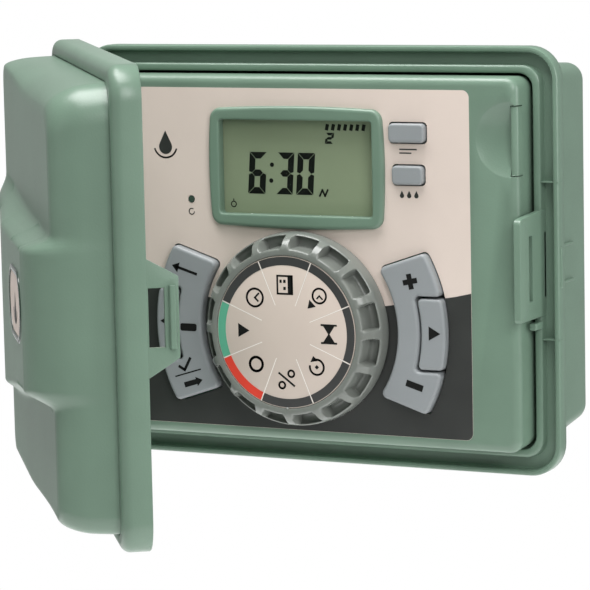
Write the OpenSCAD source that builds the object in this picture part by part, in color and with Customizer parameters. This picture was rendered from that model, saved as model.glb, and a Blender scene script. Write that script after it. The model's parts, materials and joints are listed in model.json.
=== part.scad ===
// Irrigation controller: wall case, swing-out control panel and hinged cover.
// Units are millimetres. The origin is the centre of the wall-mounting face,
// +X is right, +Y goes into the wall and +Z is up, so the front faces -Y.

/* [Case] */
// Width of the case flange
flange_w = 217.6; // [210:0.2:226]
// Height of the case flange
flange_h = 175; // [170:0.5:180]
// Depth from the rim of the flange to the wall
case_depth = 57.5; // [54:0.5:66]
// Depth of the flange's outer side wall
flange_depth = 7; // [5:0.5:9]
// Corner radius of the flange
flange_r = 13.5; // [10:0.5:15]
// Depth of the water groove between rim and lip
groove_depth = 4.5; // [3:0.5:5]
// Wall thickness of the moulded case
case_wall = 2.6; // [2:0.1:3]

/* [Door] */
// Angle at which the door stands open at rest
door_open = 54; // [0:1:66]
// Width of the door over its skirt
door_w = 224; // [223:0.2:226]
// Height of the door over its skirt
door_h = 180.7; // [180:0.1:182]
// Depth of the door's general face in front of the rim
door_face = 32.5; // [32:0.5:36]
// Depth of the raised band's crown in front of the rim
band_face = 42.3; // [40:0.1:45]
// Wall thickness of the door
door_wall = 2.4; // [2:0.1:2.8]

/* [Panel] */
// Width of the swing panel
panel_w = 194.6; // [193:0.2:195]
// Height of the swing panel
panel_h = 152; // [150:0.5:152]
// How far the panel face stands in front of the rim
panel_face = 15; // [14:0.5:16]
// Thickness of the panel's front wall
panel_wall = 2.5; // [2:0.1:3]

/* [Dial] */
// Radius of the dial's skirt
dial_r = 39.4; // [37:0.2:40]
// Radius of the printed disc
disc_r = 31.5; // [28:0.5:32]
// Height of the disc in front of the panel face
dial_h = 14.5; // [12:0.5:14.5]
// Number of grip pockets round the dial
pockets = 16; // [12:1:20]

/* [Keys] */
// Inner radius of the curved key groups round the dial
keys_r_in = 45; // [44:0.5:46]
// Outer radius of the curved key groups
keys_r_out = 66.4; // [64:0.2:68]
// Height of the keys in front of the panel face
key_h = 3.4; // [2:0.2:4]
// Gap round each key
key_gap = 0.45; // [0.3:0.05:0.6]

/* [Hidden] */

green = [0.44, 0.55, 0.47];
grey_green = [0.45, 0.47, 0.44];
beige = [0.83, 0.78, 0.73];
key_grey = [0.60, 0.62, 0.64];
board_green = [0.10, 0.35, 0.20];
steel = [0.70, 0.70, 0.72];
black = [0.10, 0.10, 0.11];

eps = 0.01;
cut = 1;

// Case rings, from the outside in
rim_w = 2.5;
opening_w = 196;
opening_h = 153.4;
lip_w = 3.2;
box_front = [201.4, 156.6];
box_front_z = 0.9;
box_back = [199, 150.8];
box_back_z = 2.5;
pad_z = [-77, -69];
back_r = 5.5;

// Hinge axes, seen from above, measured from the rim plane
door_axis = [-111.9, 1.6];
panel_axis = [-92, -11.5];
barrel_r = 2.7;
pin_r = 1.2;
pin_clear = 0.05;
knuckle_z = 55;
knuckle_len = 9;
door_knuckle_len = 7;
knuckle_gap = 0.4;
lug_inner = 76.45;
lug_outer = 78.5;

// Panel layout, measured from the rim plane and the flange centre
panel_back = 6.5;
panel_side = 2.2;
label_t = 0.4;
label_x = 76.8;
label_z = [-71.5, 70.7];
dial_z = -28.4;
lcd_centre = [-0.3, 37.8];
lcd_size = [80.2, 50.5];
lcd_bow = 1.2;
window_size = [69, 39.6];
board_y = -6;
board_t = 1.6;
board_size = [176, 136];
boss_y = -12.5;
upper_key_pos = [49.9, 52.9];
upper_key_size = [16.7, 8.4];
lower_key_pos = [50, 35.7];
lower_key_size = [14.8, 8.5];
reset_pos = [-49.8, 23.9];
shaft_r = 3;
bearing_clear = 0.05;
rocker_pin_r = 1;
rocker_pin_y = -11;
rocker_posts = [38.2, 42.8];
arrow_half = 14.9;
arrow_r_in = 55.4;
sector_base = 14;
sector_rise = 0.335;
panel_screws = [[-84, 62], [0, 70.5], [84, 62], [-84, -62], [0, -70.5], [84, -62]];
board_screw_spots = [[-80, 52], [80, 52], [-80, -56], [80, -56]];

// Inside the case
back_in = case_depth - case_wall;
transformer_pos = [62, -42];
transformer_foot = 24;
terminal_pos = [-28, -36];
terminal_count = 9;
terminal_pitch = 11;
inlet_x = 66;
wire_x = -40;
opening_y = 31;
inlet_r = 11.1;
wire_r = 13;
keyhole_z = 56;
wall_screw = [70, -58];
wall_hole_r = 2.4;

// ---- Shared shapes ----

// Moves shapes measured from the rim plane into the frame of the wall face
module in_case() {
    translate([0, -case_depth, 0]) children();
}

// Places the door's own closed shape at its rest angle
module on_door() {
    in_case()
        translate([door_axis[0], door_axis[1], 0])
            rotate([0, 0, -door_open])
                translate([-door_axis[0], -door_axis[1], 0])
                    children();
}

// Extrudes an outline drawn in X and Z from depth y0 to depth y1
module slab(y0, y1) {
    translate([0, y1, 0])
        rotate([90, 0, 0])
            linear_extrude(y1 - y0)
                children();
}

module rounded(w, h, r) {
    square([w - 2 * r, h], center = true);
    square([w, h - 2 * r], center = true);
    for (sx = [-1, 1], sz = [-1, 1])
        translate([sx * (w / 2 - r), sz * (h / 2 - r)])
            circle(r, $fn = 48);
}

module at(p) {
    translate([p[0], p[1]]) children();
}

module rod_y(r, y0, y1) {
    translate([0, y1, 0]) rotate([90, 0, 0]) cylinder(r = r, h = y1 - y0, $fn = 48);
}

module rod_y_at(p, r, y0, y1) {
    translate([p[0], 0, p[1]]) rod_y(r, y0, y1);
}

module block(x, y, z) {
    translate([x[0], y[0], z[0]]) cube([x[1] - x[0], y[1] - y[0], z[1] - z[0]]);
}

// One ring of a loft: [depth, left, right, bottom, top, corner radius]
corner_steps = 6;
function ring(s) = [
    for (q = [0:3], k = [0:corner_steps])
        let (a = 90 * (q + k / corner_steps),
             cx = (q == 0 || q == 3) ? s[2] - s[5] : s[1] + s[5],
             cz = (q < 2) ? s[4] - s[5] : s[3] + s[5])
        [cx + s[5] * cos(a), s[0], cz + s[5] * sin(a)]];

// Closed loft through rings listed from the back (+Y) to the front (-Y)
module loft(rings) {
    n = 4 * (corner_steps + 1);
    last = len(rings) - 1;
    polyhedron(
        points = [for (s = rings) each ring(s)],
        faces = concat(
            [[for (i = [0:n - 1]) i]],
            [for (k = [0:last - 1], i = [0:n - 1])
                [k * n + i, (k + 1) * n + i, (k + 1) * n + (i + 1) % n, k * n + (i + 1) % n]],
            [[for (i = [n - 1:-1:0]) last * n + i]]),
        convexity = 8);
}

function centred(y, w, h, r, z = 0) = [y, -w / 2, w / 2, z - h / 2, z + h / 2, r];

module screw(p, y_head, y_tip, r = 1.4, head_r = 2.7) {
    translate([p[0], 0, p[1]])
        difference() {
            union() {
                rod_y(r, min(y_head, y_tip), max(y_head, y_tip));
                if (y_tip < y_head) rod_y(head_r, y_head, y_head + 1.6);
                else rod_y(head_r, y_head - 1.6, y_head);
            }
            if (y_tip < y_head) {
                block([-0.35, 0.35], [y_head + 0.8, y_head + 2], [-1.9, 1.9]);
                block([-1.9, 1.9], [y_head + 0.8, y_head + 2], [-0.35, 0.35]);
            } else {
                block([-0.35, 0.35], [y_head - 2, y_head - 0.8], [-1.9, 1.9]);
                block([-1.9, 1.9], [y_head - 2, y_head - 0.8], [-0.35, 0.35]);
            }
        }
}

// ---- Case ----

module housing_lug(side) {
    z0 = side > 0 ? lug_inner : -lug_outer;
    z1 = side > 0 ? lug_outer : -lug_inner;
    block([-95.5, -87.5], [-14.6, 0.5], [z0, z1]);
}

module housing_knuckle(z) {
    translate([door_axis[0], door_axis[1], z - knuckle_len / 2])
        cylinder(r = barrel_r, h = knuckle_len, $fn = 48);
    block([door_axis[0], -flange_w / 2 + 1], [-0.9, 4.1], [z - knuckle_len / 2, z + knuckle_len / 2]);
}

module strike_plate() {
    difference() {
        block([98.5, 101.5], [-23, 5.9], [-21.5, 21]);
        for (y = [[-13.8, -10.3], [3.4, 4.8]])
            block([98, 102], y, [-14, 12.5]);
    }
    block([98.5, 101.5], [-7, 1], [-26.5, -23.6]);
}

module housing_boss(p, y0, r = 4) {
    rod_y_at(p, r, y0, back_in + eps);
}

module back_housing() {
    color(green) in_case() difference() {
        union() {
            difference() {
                union() {
                    slab(0, flange_depth) rounded(flange_w, flange_h, flange_r);
                    loft([
                        centred(case_depth, box_back[0] - 11, box_back[1] - 11, 2, box_back_z),
                        centred(case_depth - 1.6, box_back[0] - 3.4, box_back[1] - 3.4, 4, box_back_z),
                        centred(case_depth - back_r, box_back[0], box_back[1], 5.5, box_back_z),
                        centred(flange_depth - 1, box_front[0], box_front[1], 7, box_front_z)]);
                }
                slab(-cut, groove_depth) difference() {
                    rounded(flange_w - 2 * rim_w, flange_h - 2 * rim_w, flange_r - rim_w);
                    rounded(opening_w + 2 * lip_w, opening_h + 2 * lip_w, 7.8);
                }
                loft([
                    centred(back_in, box_back[0] - 12, box_back[1] - 12, 2, box_back_z),
                    centred(back_in - 4, box_back[0] - 5.2, box_back[1] - 5.2, 3.5, box_back_z),
                    centred(flange_depth + 1.2, box_front[0] - 6.2, box_front[1] - 4.8, 5, box_front_z),
                    centred(flange_depth - 0.2, opening_w, opening_h, 5.5, 0),
                    centred(-cut, opening_w, opening_h, 6, 0)]);
            }
            for (s = [-1, 1]) {
                housing_lug(s);
                housing_knuckle(s * knuckle_z);
            }
            strike_plate();
            block([108, 109.5], [1.9, 4], [-10, 6.6]);
            for (sx = [-1, 1])
                housing_boss([terminal_pos[0] + sx * 52, terminal_pos[1] + 14], 34);
            for (sx = [-1, 1])
                housing_boss([transformer_pos[0] + sx * transformer_foot, transformer_pos[1]], 49);
            housing_boss([transformer_pos[0] - 8, transformer_pos[1] + 33], 40);
            for (o = [[inlet_x, inlet_r], [wire_x, wire_r]])
                translate([o[0], opening_y, pad_z[0]])
                    cylinder(r = o[1] + 4, h = pad_z[1] - pad_z[0], $fn = 64);
            for (z = [-9, 6.4])
                block([box_back[0] / 2 - 0.5, box_front[0] / 2 + 0.3], [22, 37], [z - 0.6, z + 0.6]);
        }
        for (s = [-1, 1]) {
            translate([door_axis[0], door_axis[1], s * knuckle_z - knuckle_len])
                cylinder(r = pin_r + pin_clear, h = 2 * knuckle_len, $fn = 48);
            translate([panel_axis[0], panel_axis[1], s * 77.7 - 4])
                cylinder(r = pin_r + pin_clear, h = 8, $fn = 48);
        }
        for (sx = [-1, 1]) {
            rod_y_at([terminal_pos[0] + sx * 52, terminal_pos[1] + 14], 1.45, 33, 52);
            rod_y_at([transformer_pos[0] + sx * transformer_foot, transformer_pos[1]], 1.45, 48, 54);
            rod_y_at([sx * wall_screw[0], wall_screw[1]], wall_hole_r, back_in - cut, case_depth + cut);
        }
        rod_y_at([transformer_pos[0] - 8, transformer_pos[1] + 33], 1.45, 39, 52);
        rod_y_at([0, keyhole_z], 4.5, back_in - cut, case_depth + cut);
        block([-wall_hole_r, wall_hole_r], [back_in - cut, case_depth + cut], [keyhole_z, keyhole_z + 9]);
        rod_y_at([0, keyhole_z + 9], wall_hole_r, back_in - cut, case_depth + cut);
        for (o = [[inlet_x, inlet_r], [wire_x, wire_r]])
            translate([o[0], opening_y, -95])
                cylinder(r = o[1], h = 30, $fn = 64);
    }
}

module door_hinge_pins() {
    pin_len = knuckle_len + 2 * (door_knuckle_len + knuckle_gap) - 1;
    color(steel) in_case()
        for (s = [-1, 1])
            translate([door_axis[0], door_axis[1], s * knuckle_z - pin_len / 2])
                cylinder(r = pin_r, h = pin_len, $fn = 48);
}

module panel_hinge_pins() {
    color(steel) in_case()
        for (s = [-1, 1])
            translate([panel_axis[0], panel_axis[1], s * 74.75 - 4.25])
                cylinder(r = pin_r, h = 8.5, $fn = 48);
}

module bushing(x, r, bore) {
    translate([x, opening_y, 0]) difference() {
        union() {
            translate([0, 0, pad_z[0] - 3]) cylinder(r = r + 3, h = 2.98, $fn = 64);
            translate([0, 0, pad_z[0] - 1]) cylinder(r = r - 0.05, h = 9, $fn = 64);
        }
        translate([0, 0, -90]) cylinder(r = bore, h = 30, $fn = 64);
    }
}

module inlet_bushing() {
    color(black) in_case() bushing(inlet_x, inlet_r, 4.2);
}

module wire_bushing() {
    color(black) in_case() bushing(wire_x, wire_r, 9);
}

module transformer_core() {
    color([0.25, 0.25, 0.27]) in_case()
        translate([transformer_pos[0], 0, transformer_pos[1]]) difference() {
            block([-18, 18], [30, 46], [-16.5, 16.5]);
            for (sx = [-1, 1])
                block([sx > 0 ? 6.5 : -13.5, sx > 0 ? 13.5 : -6.5], [29, 47], [-10, 10]);
        }
}

module transformer_coil() {
    color([0.55, 0.45, 0.15]) in_case()
        translate([transformer_pos[0], 0, transformer_pos[1]]) difference() {
            block([-13, 13], [25, 51], [-9.6, 9.6]);
            block([-6.6, 6.6], [29.9, 46.1], [-12, 12]);
        }
}

module transformer_bracket() {
    color(steel) in_case()
        translate([transformer_pos[0], 0, transformer_pos[1]]) difference() {
            union() {
                for (s = [-1, 1]) {
                    block([s > 0 ? 18.1 : -19.6, s > 0 ? 19.6 : -18.1], [28.4, 48.9], [-14, 14]);
                    block([s > 0 ? 18.1 : -28, s > 0 ? 28 : -18.1], [47.4, 48.9], [-7, 7]);
                }
                block([-19.6, 19.6], [28.4, 29.9], [10.5, 16]);
            }
            for (s = [-1, 1])
                rod_y_at([s * transformer_foot, 0], 1.6, 46, 50);
        }
}

module transformer_screws() {
    color(steel) in_case()
        for (s = [-1, 1])
            screw([transformer_pos[0] + s * transformer_foot, transformer_pos[1]], 47.3, 53);
}

module transformer_cover() {
    color([0.2, 0.2, 0.21]) in_case()
        translate([transformer_pos[0], 0, transformer_pos[1]]) difference() {
            union() {
                block([-31, 31], [19, 53.5], [-25.4, 22]);
                block([-14, -2], [38, 40 - 0.1], [21, 39]);
            }
            block([-29.2, 29.2], [20.8, 55], [-23.6, 20.2]);
            rod_y_at([-8, 33], 1.7, 36, 42);
            block([-12, 12], [22, 56], [-30, -20]);
        }
}

module cover_screws() {
    color(steel) in_case()
        screw([transformer_pos[0] - 8, transformer_pos[1] + 33], 37.9, 50);
}

module terminal_board() {
    color(board_green) in_case()
        translate([terminal_pos[0], 0, terminal_pos[1]]) difference() {
            block([-57, 57], [32.2, 33.9], [-12, 22]);
            for (sx = [-1, 1])
                rod_y_at([sx * 52, 14], 1.6, 31, 35);
        }
}

module terminal_block() {
    color([0.16, 0.17, 0.17]) in_case()
        translate([terminal_pos[0], 0, terminal_pos[1]]) difference() {
            block([-terminal_count * terminal_pitch / 2, terminal_count * terminal_pitch / 2],
                [20, 32.1], [-11, 3]);
            for (i = [0:terminal_count - 1])
                translate([(i - (terminal_count - 1) / 2) * terminal_pitch, 0, 0]) {
                    rod_y_at([0, -1], 3.2, 19, 26);
                    block([-2.4, 2.4], [24, 29], [-12, -5]);
                }
        }
}

module terminal_screws() {
    color(steel) in_case()
        for (i = [0:terminal_count - 1])
            translate([terminal_pos[0] + (i - (terminal_count - 1) / 2) * terminal_pitch,
                    0, terminal_pos[1] - 1])
                difference() {
                    rod_y(2.9, 22, 25.9);
                    block([-3, 3], [21, 23], [-0.4, 0.4]);
                }
}

module board_screws() {
    color(steel) in_case()
        for (sx = [-1, 1])
            screw([terminal_pos[0] + sx * 52, terminal_pos[1] + 14], 32.1, 46);
}

module header_socket() {
    color(black) in_case()
        translate([terminal_pos[0], 0, terminal_pos[1] + 15]) difference() {
            block([-16, 16], [25, 32.1], [-4, 4]);
            block([-14.5, 14.5], [24, 29], [-2.6, 2.6]);
        }
}

// ---- Door, drawn closed ----

band_z = [-37, 29];

// Foot of the door's knuckle on side t of the case's knuckle at side s
function door_knuckle_foot(s, t) =
    s * knuckle_z + t * (knuckle_len + door_knuckle_len + 2 * knuckle_gap) / 2 - door_knuckle_len / 2;

module door_outer() {
    loft([
        centred(0.9, door_w, door_h, 13),
        centred(-7.6, door_w, door_h, 13),
        centred(-9.6, door_w - 1.6, door_h - 1.6, 12.5),
        centred(-10.5, door_w - 5, door_h - 5, 11),
        centred(-10.5, 212, 167.2, 9),
        centred(-22, 210.4, 165.4, 9),
        centred(-27.5, 206.5, 161.6, 9),
        centred(-31, 200.5, 156, 8),
        centred(-door_face, 191, 148.5, 7)]);
    loft([
        [-12, -104, 108.5, band_z[0] - 8, band_z[1] + 4, 12],
        [-24, -103, 107.8, band_z[0] - 6, band_z[1] + 2, 12],
        [-34, -99, 101, band_z[0] - 2, band_z[1], 12],
        [-36.2, -96, 96, band_z[0], band_z[1] - 1, 12],
        [-39.5, -60, 91, band_z[0] + 3, band_z[1] - 3, 11],
        [-band_face, -5, 82, band_z[0] + 9, band_z[1] - 6, 9]]);
}

module door_inner() {
    w = 2 * door_wall;
    loft([
        centred(2, door_w - 5, door_h - 5, 11),
        centred(-8.1, door_w - 5, door_h - 5, 11),
        centred(-8.1, 212 - w, 167.2 - w, 7),
        centred(-20.5, 210.4 - w, 165.4 - w, 7),
        centred(-25.8, 206.5 - w, 161.6 - w, 7),
        centred(-28.9, 200.5 - w, 156 - w, 6),
        centred(-door_face + door_wall, 191 - w, 148.5 - w, 5.5)]);
    loft([
        [-26, -99, 101, band_z[0] + 1, band_z[1] - 3, 9],
        [-33.5, -94, 94, band_z[0] + 2.6, band_z[1] - 3.6, 9],
        [-37, -58, 88, band_z[0] + 5.5, band_z[1] - 5.5, 8],
        [-band_face + door_wall, -5, 79.5, band_z[0] + 11, band_z[1] - 8, 7]]);
}

module latch_tab() {
    difference() {
        union() {
            block([109.8, 112], [-4, 1], [-23.9, 20.1]);
            translate([109.8, 0, 0]) rotate([90, 0, 90]) linear_extrude(2.2)
                polygon([[0.9, -23.9], [0.9, 20.1], [11.5, 13.8],
                    [12.6, 12.6], [12.6, -15.6], [11.5, -16.9]]);
            block([111.5, 113.2], [9.6, 11.4], [-12.6, 9.4]);
        }
        block([108, 114], [1.2, 7.2], [-12.6, 9.4]);
    }
}

module door_shell() {
    color(green) on_door() difference() {
        union() {
            difference() {
                door_outer();
                door_inner();
                for (s = [-1, 1])
                    block([-115, -106], [-3.5, 4],
                        [s * knuckle_z - knuckle_len / 2 - knuckle_gap,
                            s * knuckle_z + knuckle_len / 2 + knuckle_gap]);
                translate([58, -band_face - 0.4, -1]) rotate([90, 0, 0]) long_oval(24.5, 14.2, 3);
            }
            latch_tab();
            for (s = [-1, 1], t = [-1, 1])
                translate([door_axis[0], door_axis[1], door_knuckle_foot(s, t)])
                    cylinder(r = barrel_r, h = door_knuckle_len, $fn = 48);
        }
        for (s = [-1, 1])
            translate([door_axis[0], door_axis[1], s * knuckle_z - 14])
                cylinder(r = pin_r + pin_clear, h = 28, $fn = 48);
    }
}

// Plate with round ends, made of true circles
module long_oval(half_w, half_h, depth) {
    translate([0, 0, -depth / 2]) linear_extrude(depth) {
        square([2 * (half_w - half_h), 2 * half_h], center = true);
        for (s = [-1, 1])
            translate([s * (half_w - half_h), 0]) circle(half_h, $fn = 64);
    }
}

module door_badge() {
    color([0.3, 0.4, 0.34]) on_door()
        translate([58, -band_face + 0.6, -1]) rotate([90, 0, 0]) long_oval(24, 13.7, 0.8);
}

// ---- Swing panel ----

module key_sector(grow) {
    x0 = keys_r_in - 16;
    x1 = keys_r_out + 6;
    intersection() {
        difference() {
            circle(keys_r_out + grow, $fn = 180);
            circle(keys_r_in - grow, $fn = 180);
        }
        polygon([for (p = [[x0, 1], [x1, 1], [x1, -1], [x0, -1]])
            [p[0], p[1] * (sector_base + sector_rise * p[0] + grow)]]);
    }
}

module arrow_outline(grow) {
    intersection() {
        difference() {
            circle(keys_r_out + grow, $fn = 180);
            circle(arrow_r_in - grow, $fn = 180);
        }
        translate([60, 0]) square([40, 2 * (arrow_half + grow)], center = true);
    }
}

module rocker_outline() {
    difference() {
        key_sector(0);
        arrow_outline(key_gap);
    }
}

module on_dial(side) {
    translate([0, dial_z]) mirror([side < 0 ? 1 : 0, 0]) children();
}

module face_openings(grow) {
    for (side = [-1, 1])
        on_dial(side) key_sector(grow);
    at(upper_key_pos) rounded(upper_key_size[0] + 2 * grow, upper_key_size[1] + 2 * grow, 1.8);
    at(lower_key_pos) rounded(lower_key_size[0] + 2 * grow, lower_key_size[1] + 2 * grow, 1.8);
    at(reset_pos) circle(1.35 + grow / 2, $fn = 32);
    translate([0, dial_z]) circle(shaft_r + 1.5, $fn = 48);
    at(lcd_centre) rounded(lcd_size[0] - 6, lcd_size[1] - 6, 4);
}

// Finger scoop beside the latch: a shallow bite of a large ball
scoop_r = 50;
scoop_depth = 4.7;

module panel_shell() {
    color(green) in_case() difference() {
        union() {
            difference() {
                loft([
                    [panel_back, -panel_w / 2 + 0.6, panel_w / 2 - 1.1, -panel_h / 2 + 0.6, panel_h / 2 - 0.6, 5],
                    centred(-panel_face + 3.5, panel_w, panel_h, 5.5),
                    centred(-panel_face + 1.6, panel_w - 1, panel_h - 1, 5.3),
                    centred(-panel_face + 0.4, panel_w - 3.4, panel_h - 3.4, 4.6),
                    centred(-panel_face, panel_w - 7, panel_h - 7, 3.5)]);
                slab(-panel_face + panel_wall, panel_back + cut)
                    rounded(panel_w - 2 * panel_side - 2.4, panel_h - 2 * panel_side - 1.4, 3);
            }
            for (p = panel_screws)
                rod_y_at(p, 3.6, boss_y - 0.2, panel_back - 2.2);
            for (p = board_screw_spots)
                rod_y_at(p, 3.2, boss_y - 0.2, board_y - 0.05);
            for (s = [-1, 1])
                block([-96, -87], [-14, -6], [s > 0 ? 68 : -75.9, s > 0 ? 75.9 : -68]);
            for (side = [-1, 1], x = rocker_posts)
                block([side * x - 1, side * x + 1], [-12.6, -9], [dial_z - 3, dial_z + 3]);
            block([78, 95], [-12.6, -8.4], [33, 74]);
        }
        slab(-panel_face - cut, -panel_face + label_t)
            translate([0, (label_z[0] + label_z[1]) / 2])
                rounded(2 * label_x + 0.1, label_z[1] - label_z[0] + 0.1, 3);
        slab(-panel_face - cut, boss_y + eps) face_openings(key_gap);
        for (side = [-1, 1])
            translate([side * 40.5 - 5, rocker_pin_y, dial_z]) rotate([0, 90, 0])
                cylinder(r = rocker_pin_r + bearing_clear, h = 10, $fn = 32);
        for (p = panel_screws)
            rod_y_at(p, 1.45, -4, panel_back);
        for (p = board_screw_spots)
            rod_y_at(p, 1.45, -11, board_y);
        for (s = [-1, 1])
            translate([panel_axis[0], panel_axis[1], s * 74.75 - 4.5])
                cylinder(r = pin_r + pin_clear, h = 9, $fn = 48);
        slab(-panel_face - cut, -8.6) translate([96.4, 50.5]) square([4.4, 28.4], center = true);
        translate([98, -panel_face - scoop_r + scoop_depth, 50]) sphere(r = scoop_r, $fn = 96);
    }
}

module panel_latch() {
    color(green) in_case() {
        slab(-panel_face + 1.6, -8.7) translate([95.7, 50.5]) square([2.4, 27.6], center = true);
    }
}

module faceplate_label() {
    color(beige) in_case()
        slab(-panel_face, -panel_face + label_t - 0.02) difference() {
            translate([0, (label_z[0] + label_z[1]) / 2])
                rounded(2 * label_x, label_z[1] - label_z[0], 3);
            face_openings(key_gap);
        }
}

module bezel_outline() {
    bow_x = lcd_size[1] * lcd_size[1] / (8 * lcd_bow);
    bow_z = lcd_size[0] * lcd_size[0] / (8 * lcd_bow);
    intersection() {
        rounded(lcd_size[0] + 2 * lcd_bow, lcd_size[1] + 2 * lcd_bow, 5.5);
        bow_circles(bow_x, bow_z);
    }
}

module bow_circles(bow_x, bow_z) {
    intersection() {
        translate([lcd_size[0] / 2 + lcd_bow - bow_x, 0]) circle(bow_x, $fn = 360);
        translate([-lcd_size[0] / 2 - lcd_bow + bow_x, 0]) circle(bow_x, $fn = 360);
        translate([0, lcd_size[1] / 2 + lcd_bow - bow_z]) circle(bow_z, $fn = 360);
        translate([0, -lcd_size[1] / 2 - lcd_bow + bow_z]) circle(bow_z, $fn = 360);
    }
}

module lcd_bezel() {
    color(green) in_case()
        translate([lcd_centre[0], 0, lcd_centre[1]]) difference() {
            union() {
                slab(-panel_face - 2.4, -panel_face - 0.02) bezel_outline();
                slab(-panel_face - 0.1, boss_y - 0.4) rounded(lcd_size[0] - 6.1, lcd_size[1] - 6.1, 4);
            }
            slab(-panel_face - 3, boss_y) rounded(window_size[0], window_size[1], 1.5);
        }
}

module lcd_window() {
    color([0.8, 0.85, 0.8, 0.4]) in_case()
        slab(-panel_face - 0.6, -panel_face + 0.6) at(lcd_centre)
            rounded(window_size[0] - 0.1, window_size[1] - 0.1, 1.4);
}

module lcd_cell() {
    color([0.51, 0.57, 0.43]) in_case()
        slab(-12.4, -10) at(lcd_centre) square([72, 42.6], center = true);
}

module lcd_frame() {
    color([0.85, 0.86, 0.84]) in_case()
        slab(-12.2, board_y - 0.05) at(lcd_centre) difference() {
            rounded(77, 47.5, 2);
            square([72.2, 42.8], center = true);
        }
}

module contact_strips() {
    color([0.35, 0.2, 0.2]) in_case()
        for (s = [-1, 1])
            block([lcd_centre[0] - 33, lcd_centre[0] + 33], [-9.95, board_y - 0.05],
                [lcd_centre[1] + s * 18.5 - 1.2, lcd_centre[1] + s * 18.5 + 1.2]);
}

module main_board() {
    color(board_green) in_case()
        slab(board_y, board_y + board_t) difference() {
            rounded(board_size[0], board_size[1], 2);
            for (p = board_screw_spots)
                at(p) circle(1.6, $fn = 32);
            for (sx = [-1, 1], sz = [-1, 1])
                translate([sx * 88, sz * 68]) circle(11.5, $fn = 48);
            for (sz = [-1, 1])
                translate([0, sz * 72]) circle(8, $fn = 48);
        }
}

module microcontroller() {
    color(black) in_case()
        slab(board_y + board_t + 0.02, board_y + board_t + 1.8)
            translate([-4, 30]) square(14, center = true);
}

module triacs() {
    color(black) in_case()
        for (i = [0:6])
            slab(board_y + board_t + 0.02, board_y + board_t + 5)
                translate([-45 + 12 * i, -42]) square([5, 4], center = true);
}

module capacitors() {
    color([0.15, 0.2, 0.45]) in_case()
        for (p = [[48, -8], [60, -8], [48, 8]])
            rod_y_at(p, 4, board_y + board_t + 0.02, board_y + board_t + 7);
}

module rotary_switch() {
    color([0.25, 0.27, 0.3]) in_case() difference() {
        slab(-12.2, board_y - 0.02) translate([0, dial_z]) rounded(24, 24, 3);
        rod_y_at([0, dial_z], shaft_r + bearing_clear, -13, -6.8);
    }
}

module keypad_mat() {
    color([0.75, 0.77, 0.78]) in_case() {
        slab(board_y - 1, board_y - 0.02) {
            for (side = [-1, 1])
                on_dial(side) translate([61, 0]) rounded(10, 60, 2);
            at(upper_key_pos + [0, -8.6]) rounded(16, 26, 2);
        }
        for (side = [-1, 1], z = [-26, 0, 26])
            rod_y_at([side * 60.5, dial_z + z], 3, board_y - 2.2, board_y - 0.9);
        for (p = [upper_key_pos, lower_key_pos])
            rod_y_at(p, 3, board_y - 2.2, board_y - 0.9);
    }
}

module standoff_screws() {
    color(steel) in_case()
        for (p = board_screw_spots)
            screw(p, board_y + board_t + 0.02, -10.5);
}

module battery_holder() {
    color(black) in_case() translate([-55, 0, -6]) difference() {
        slab(board_y + board_t + 0.02, board_y + board_t + 5.2) rounded(26, 26, 4);
        rod_y(10.4, board_y + board_t + 1.2, board_y + board_t + 6);
        block([-20, -8], [board_y + board_t + 1.2, board_y + board_t + 6], [-6, 6]);
    }
}

module coin_cell() {
    color(steel) in_case()
        rod_y_at([-55, -6], 10, board_y + board_t + 1.3, board_y + board_t + 4.5);
}

module panel_back_cover() {
    color([0.2, 0.21, 0.21]) in_case()
        difference() {
            slab(panel_back - 2.1, panel_back - 0.2)
                rounded(panel_w - 2 * panel_side - 3, panel_h - 2 * panel_side - 2, 2.6);
            for (p = panel_screws)
                rod_y_at(p, 1.7, 4, 12);
            for (i = [0:7])
                block([20 + 6 * i, 23 + 6 * i], [5, 12], [20, 44]);
        }
}

module back_cover_screws() {
    color(steel) in_case()
        for (p = panel_screws)
            screw(p, panel_back - 0.18, -2);
}

// ---- Dial, turning about the Y axis through its centre ----

knob_front = panel_face + dial_h;

module dial_knob() {
    color(grey_green) in_case() translate([0, 0, dial_z]) difference() {
        rotate([90, 0, 0]) rotate_extrude($fn = 120)
            polygon([[shaft_r + 0.05, panel_face + 2], [dial_r - 3, panel_face + 2],
                [dial_r - 3, panel_face + 0.4], [dial_r - 0.4, panel_face + 0.4],
                [dial_r, panel_face + 1], [dial_r - 0.4, panel_face + 4.5],
                [dial_r - 4, knob_front - 1.6], [dial_r - 5, knob_front - 0.6], [disc_r + 1, knob_front],
                [disc_r + 0.05, knob_front - 0.4], [disc_r + 0.05, knob_front - 1.6],
                [shaft_r + 0.05, knob_front - 1.6]]);
        for (i = [0:pockets - 1])
            rotate([0, 360 * (i + 0.5) / pockets, 0])
                translate([dial_r + 0.2, -panel_face - 4.2, 0]) rotate([90, 0, 0])
                    cylinder(r = 4.6, h = 20, $fn = 40);
    }
}

module dial_disc() {
    color(beige) in_case()
        rod_y_at([0, dial_z], disc_r, -knob_front + 0.3, -knob_front + 1.58);
}

module dial_shaft() {
    color([0.85, 0.85, 0.82]) in_case()
        rod_y_at([0, dial_z], shaft_r, -knob_front + 1.65, -7);
}

// ---- Keys ----

module rocker(side) {
    color(key_grey) in_case() {
        slab(-panel_face - key_h, -10) on_dial(side) rocker_outline();
        translate([side * 42 - 5, rocker_pin_y, dial_z]) rotate([0, 90, 0])
            cylinder(r = rocker_pin_r, h = 10, $fn = 32);
    }
}

module left_rocker() {
    rocker(-1);
}

module right_rocker() {
    rocker(1);
}

module arrow_key(side) {
    color(key_grey) in_case() {
        slab(-panel_face - key_h, -10.8) on_dial(side) arrow_outline(0);
        slab(-12, -10.8) on_dial(side) translate([67, 0]) square([2.6, 16], center = true);
    }
}

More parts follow.
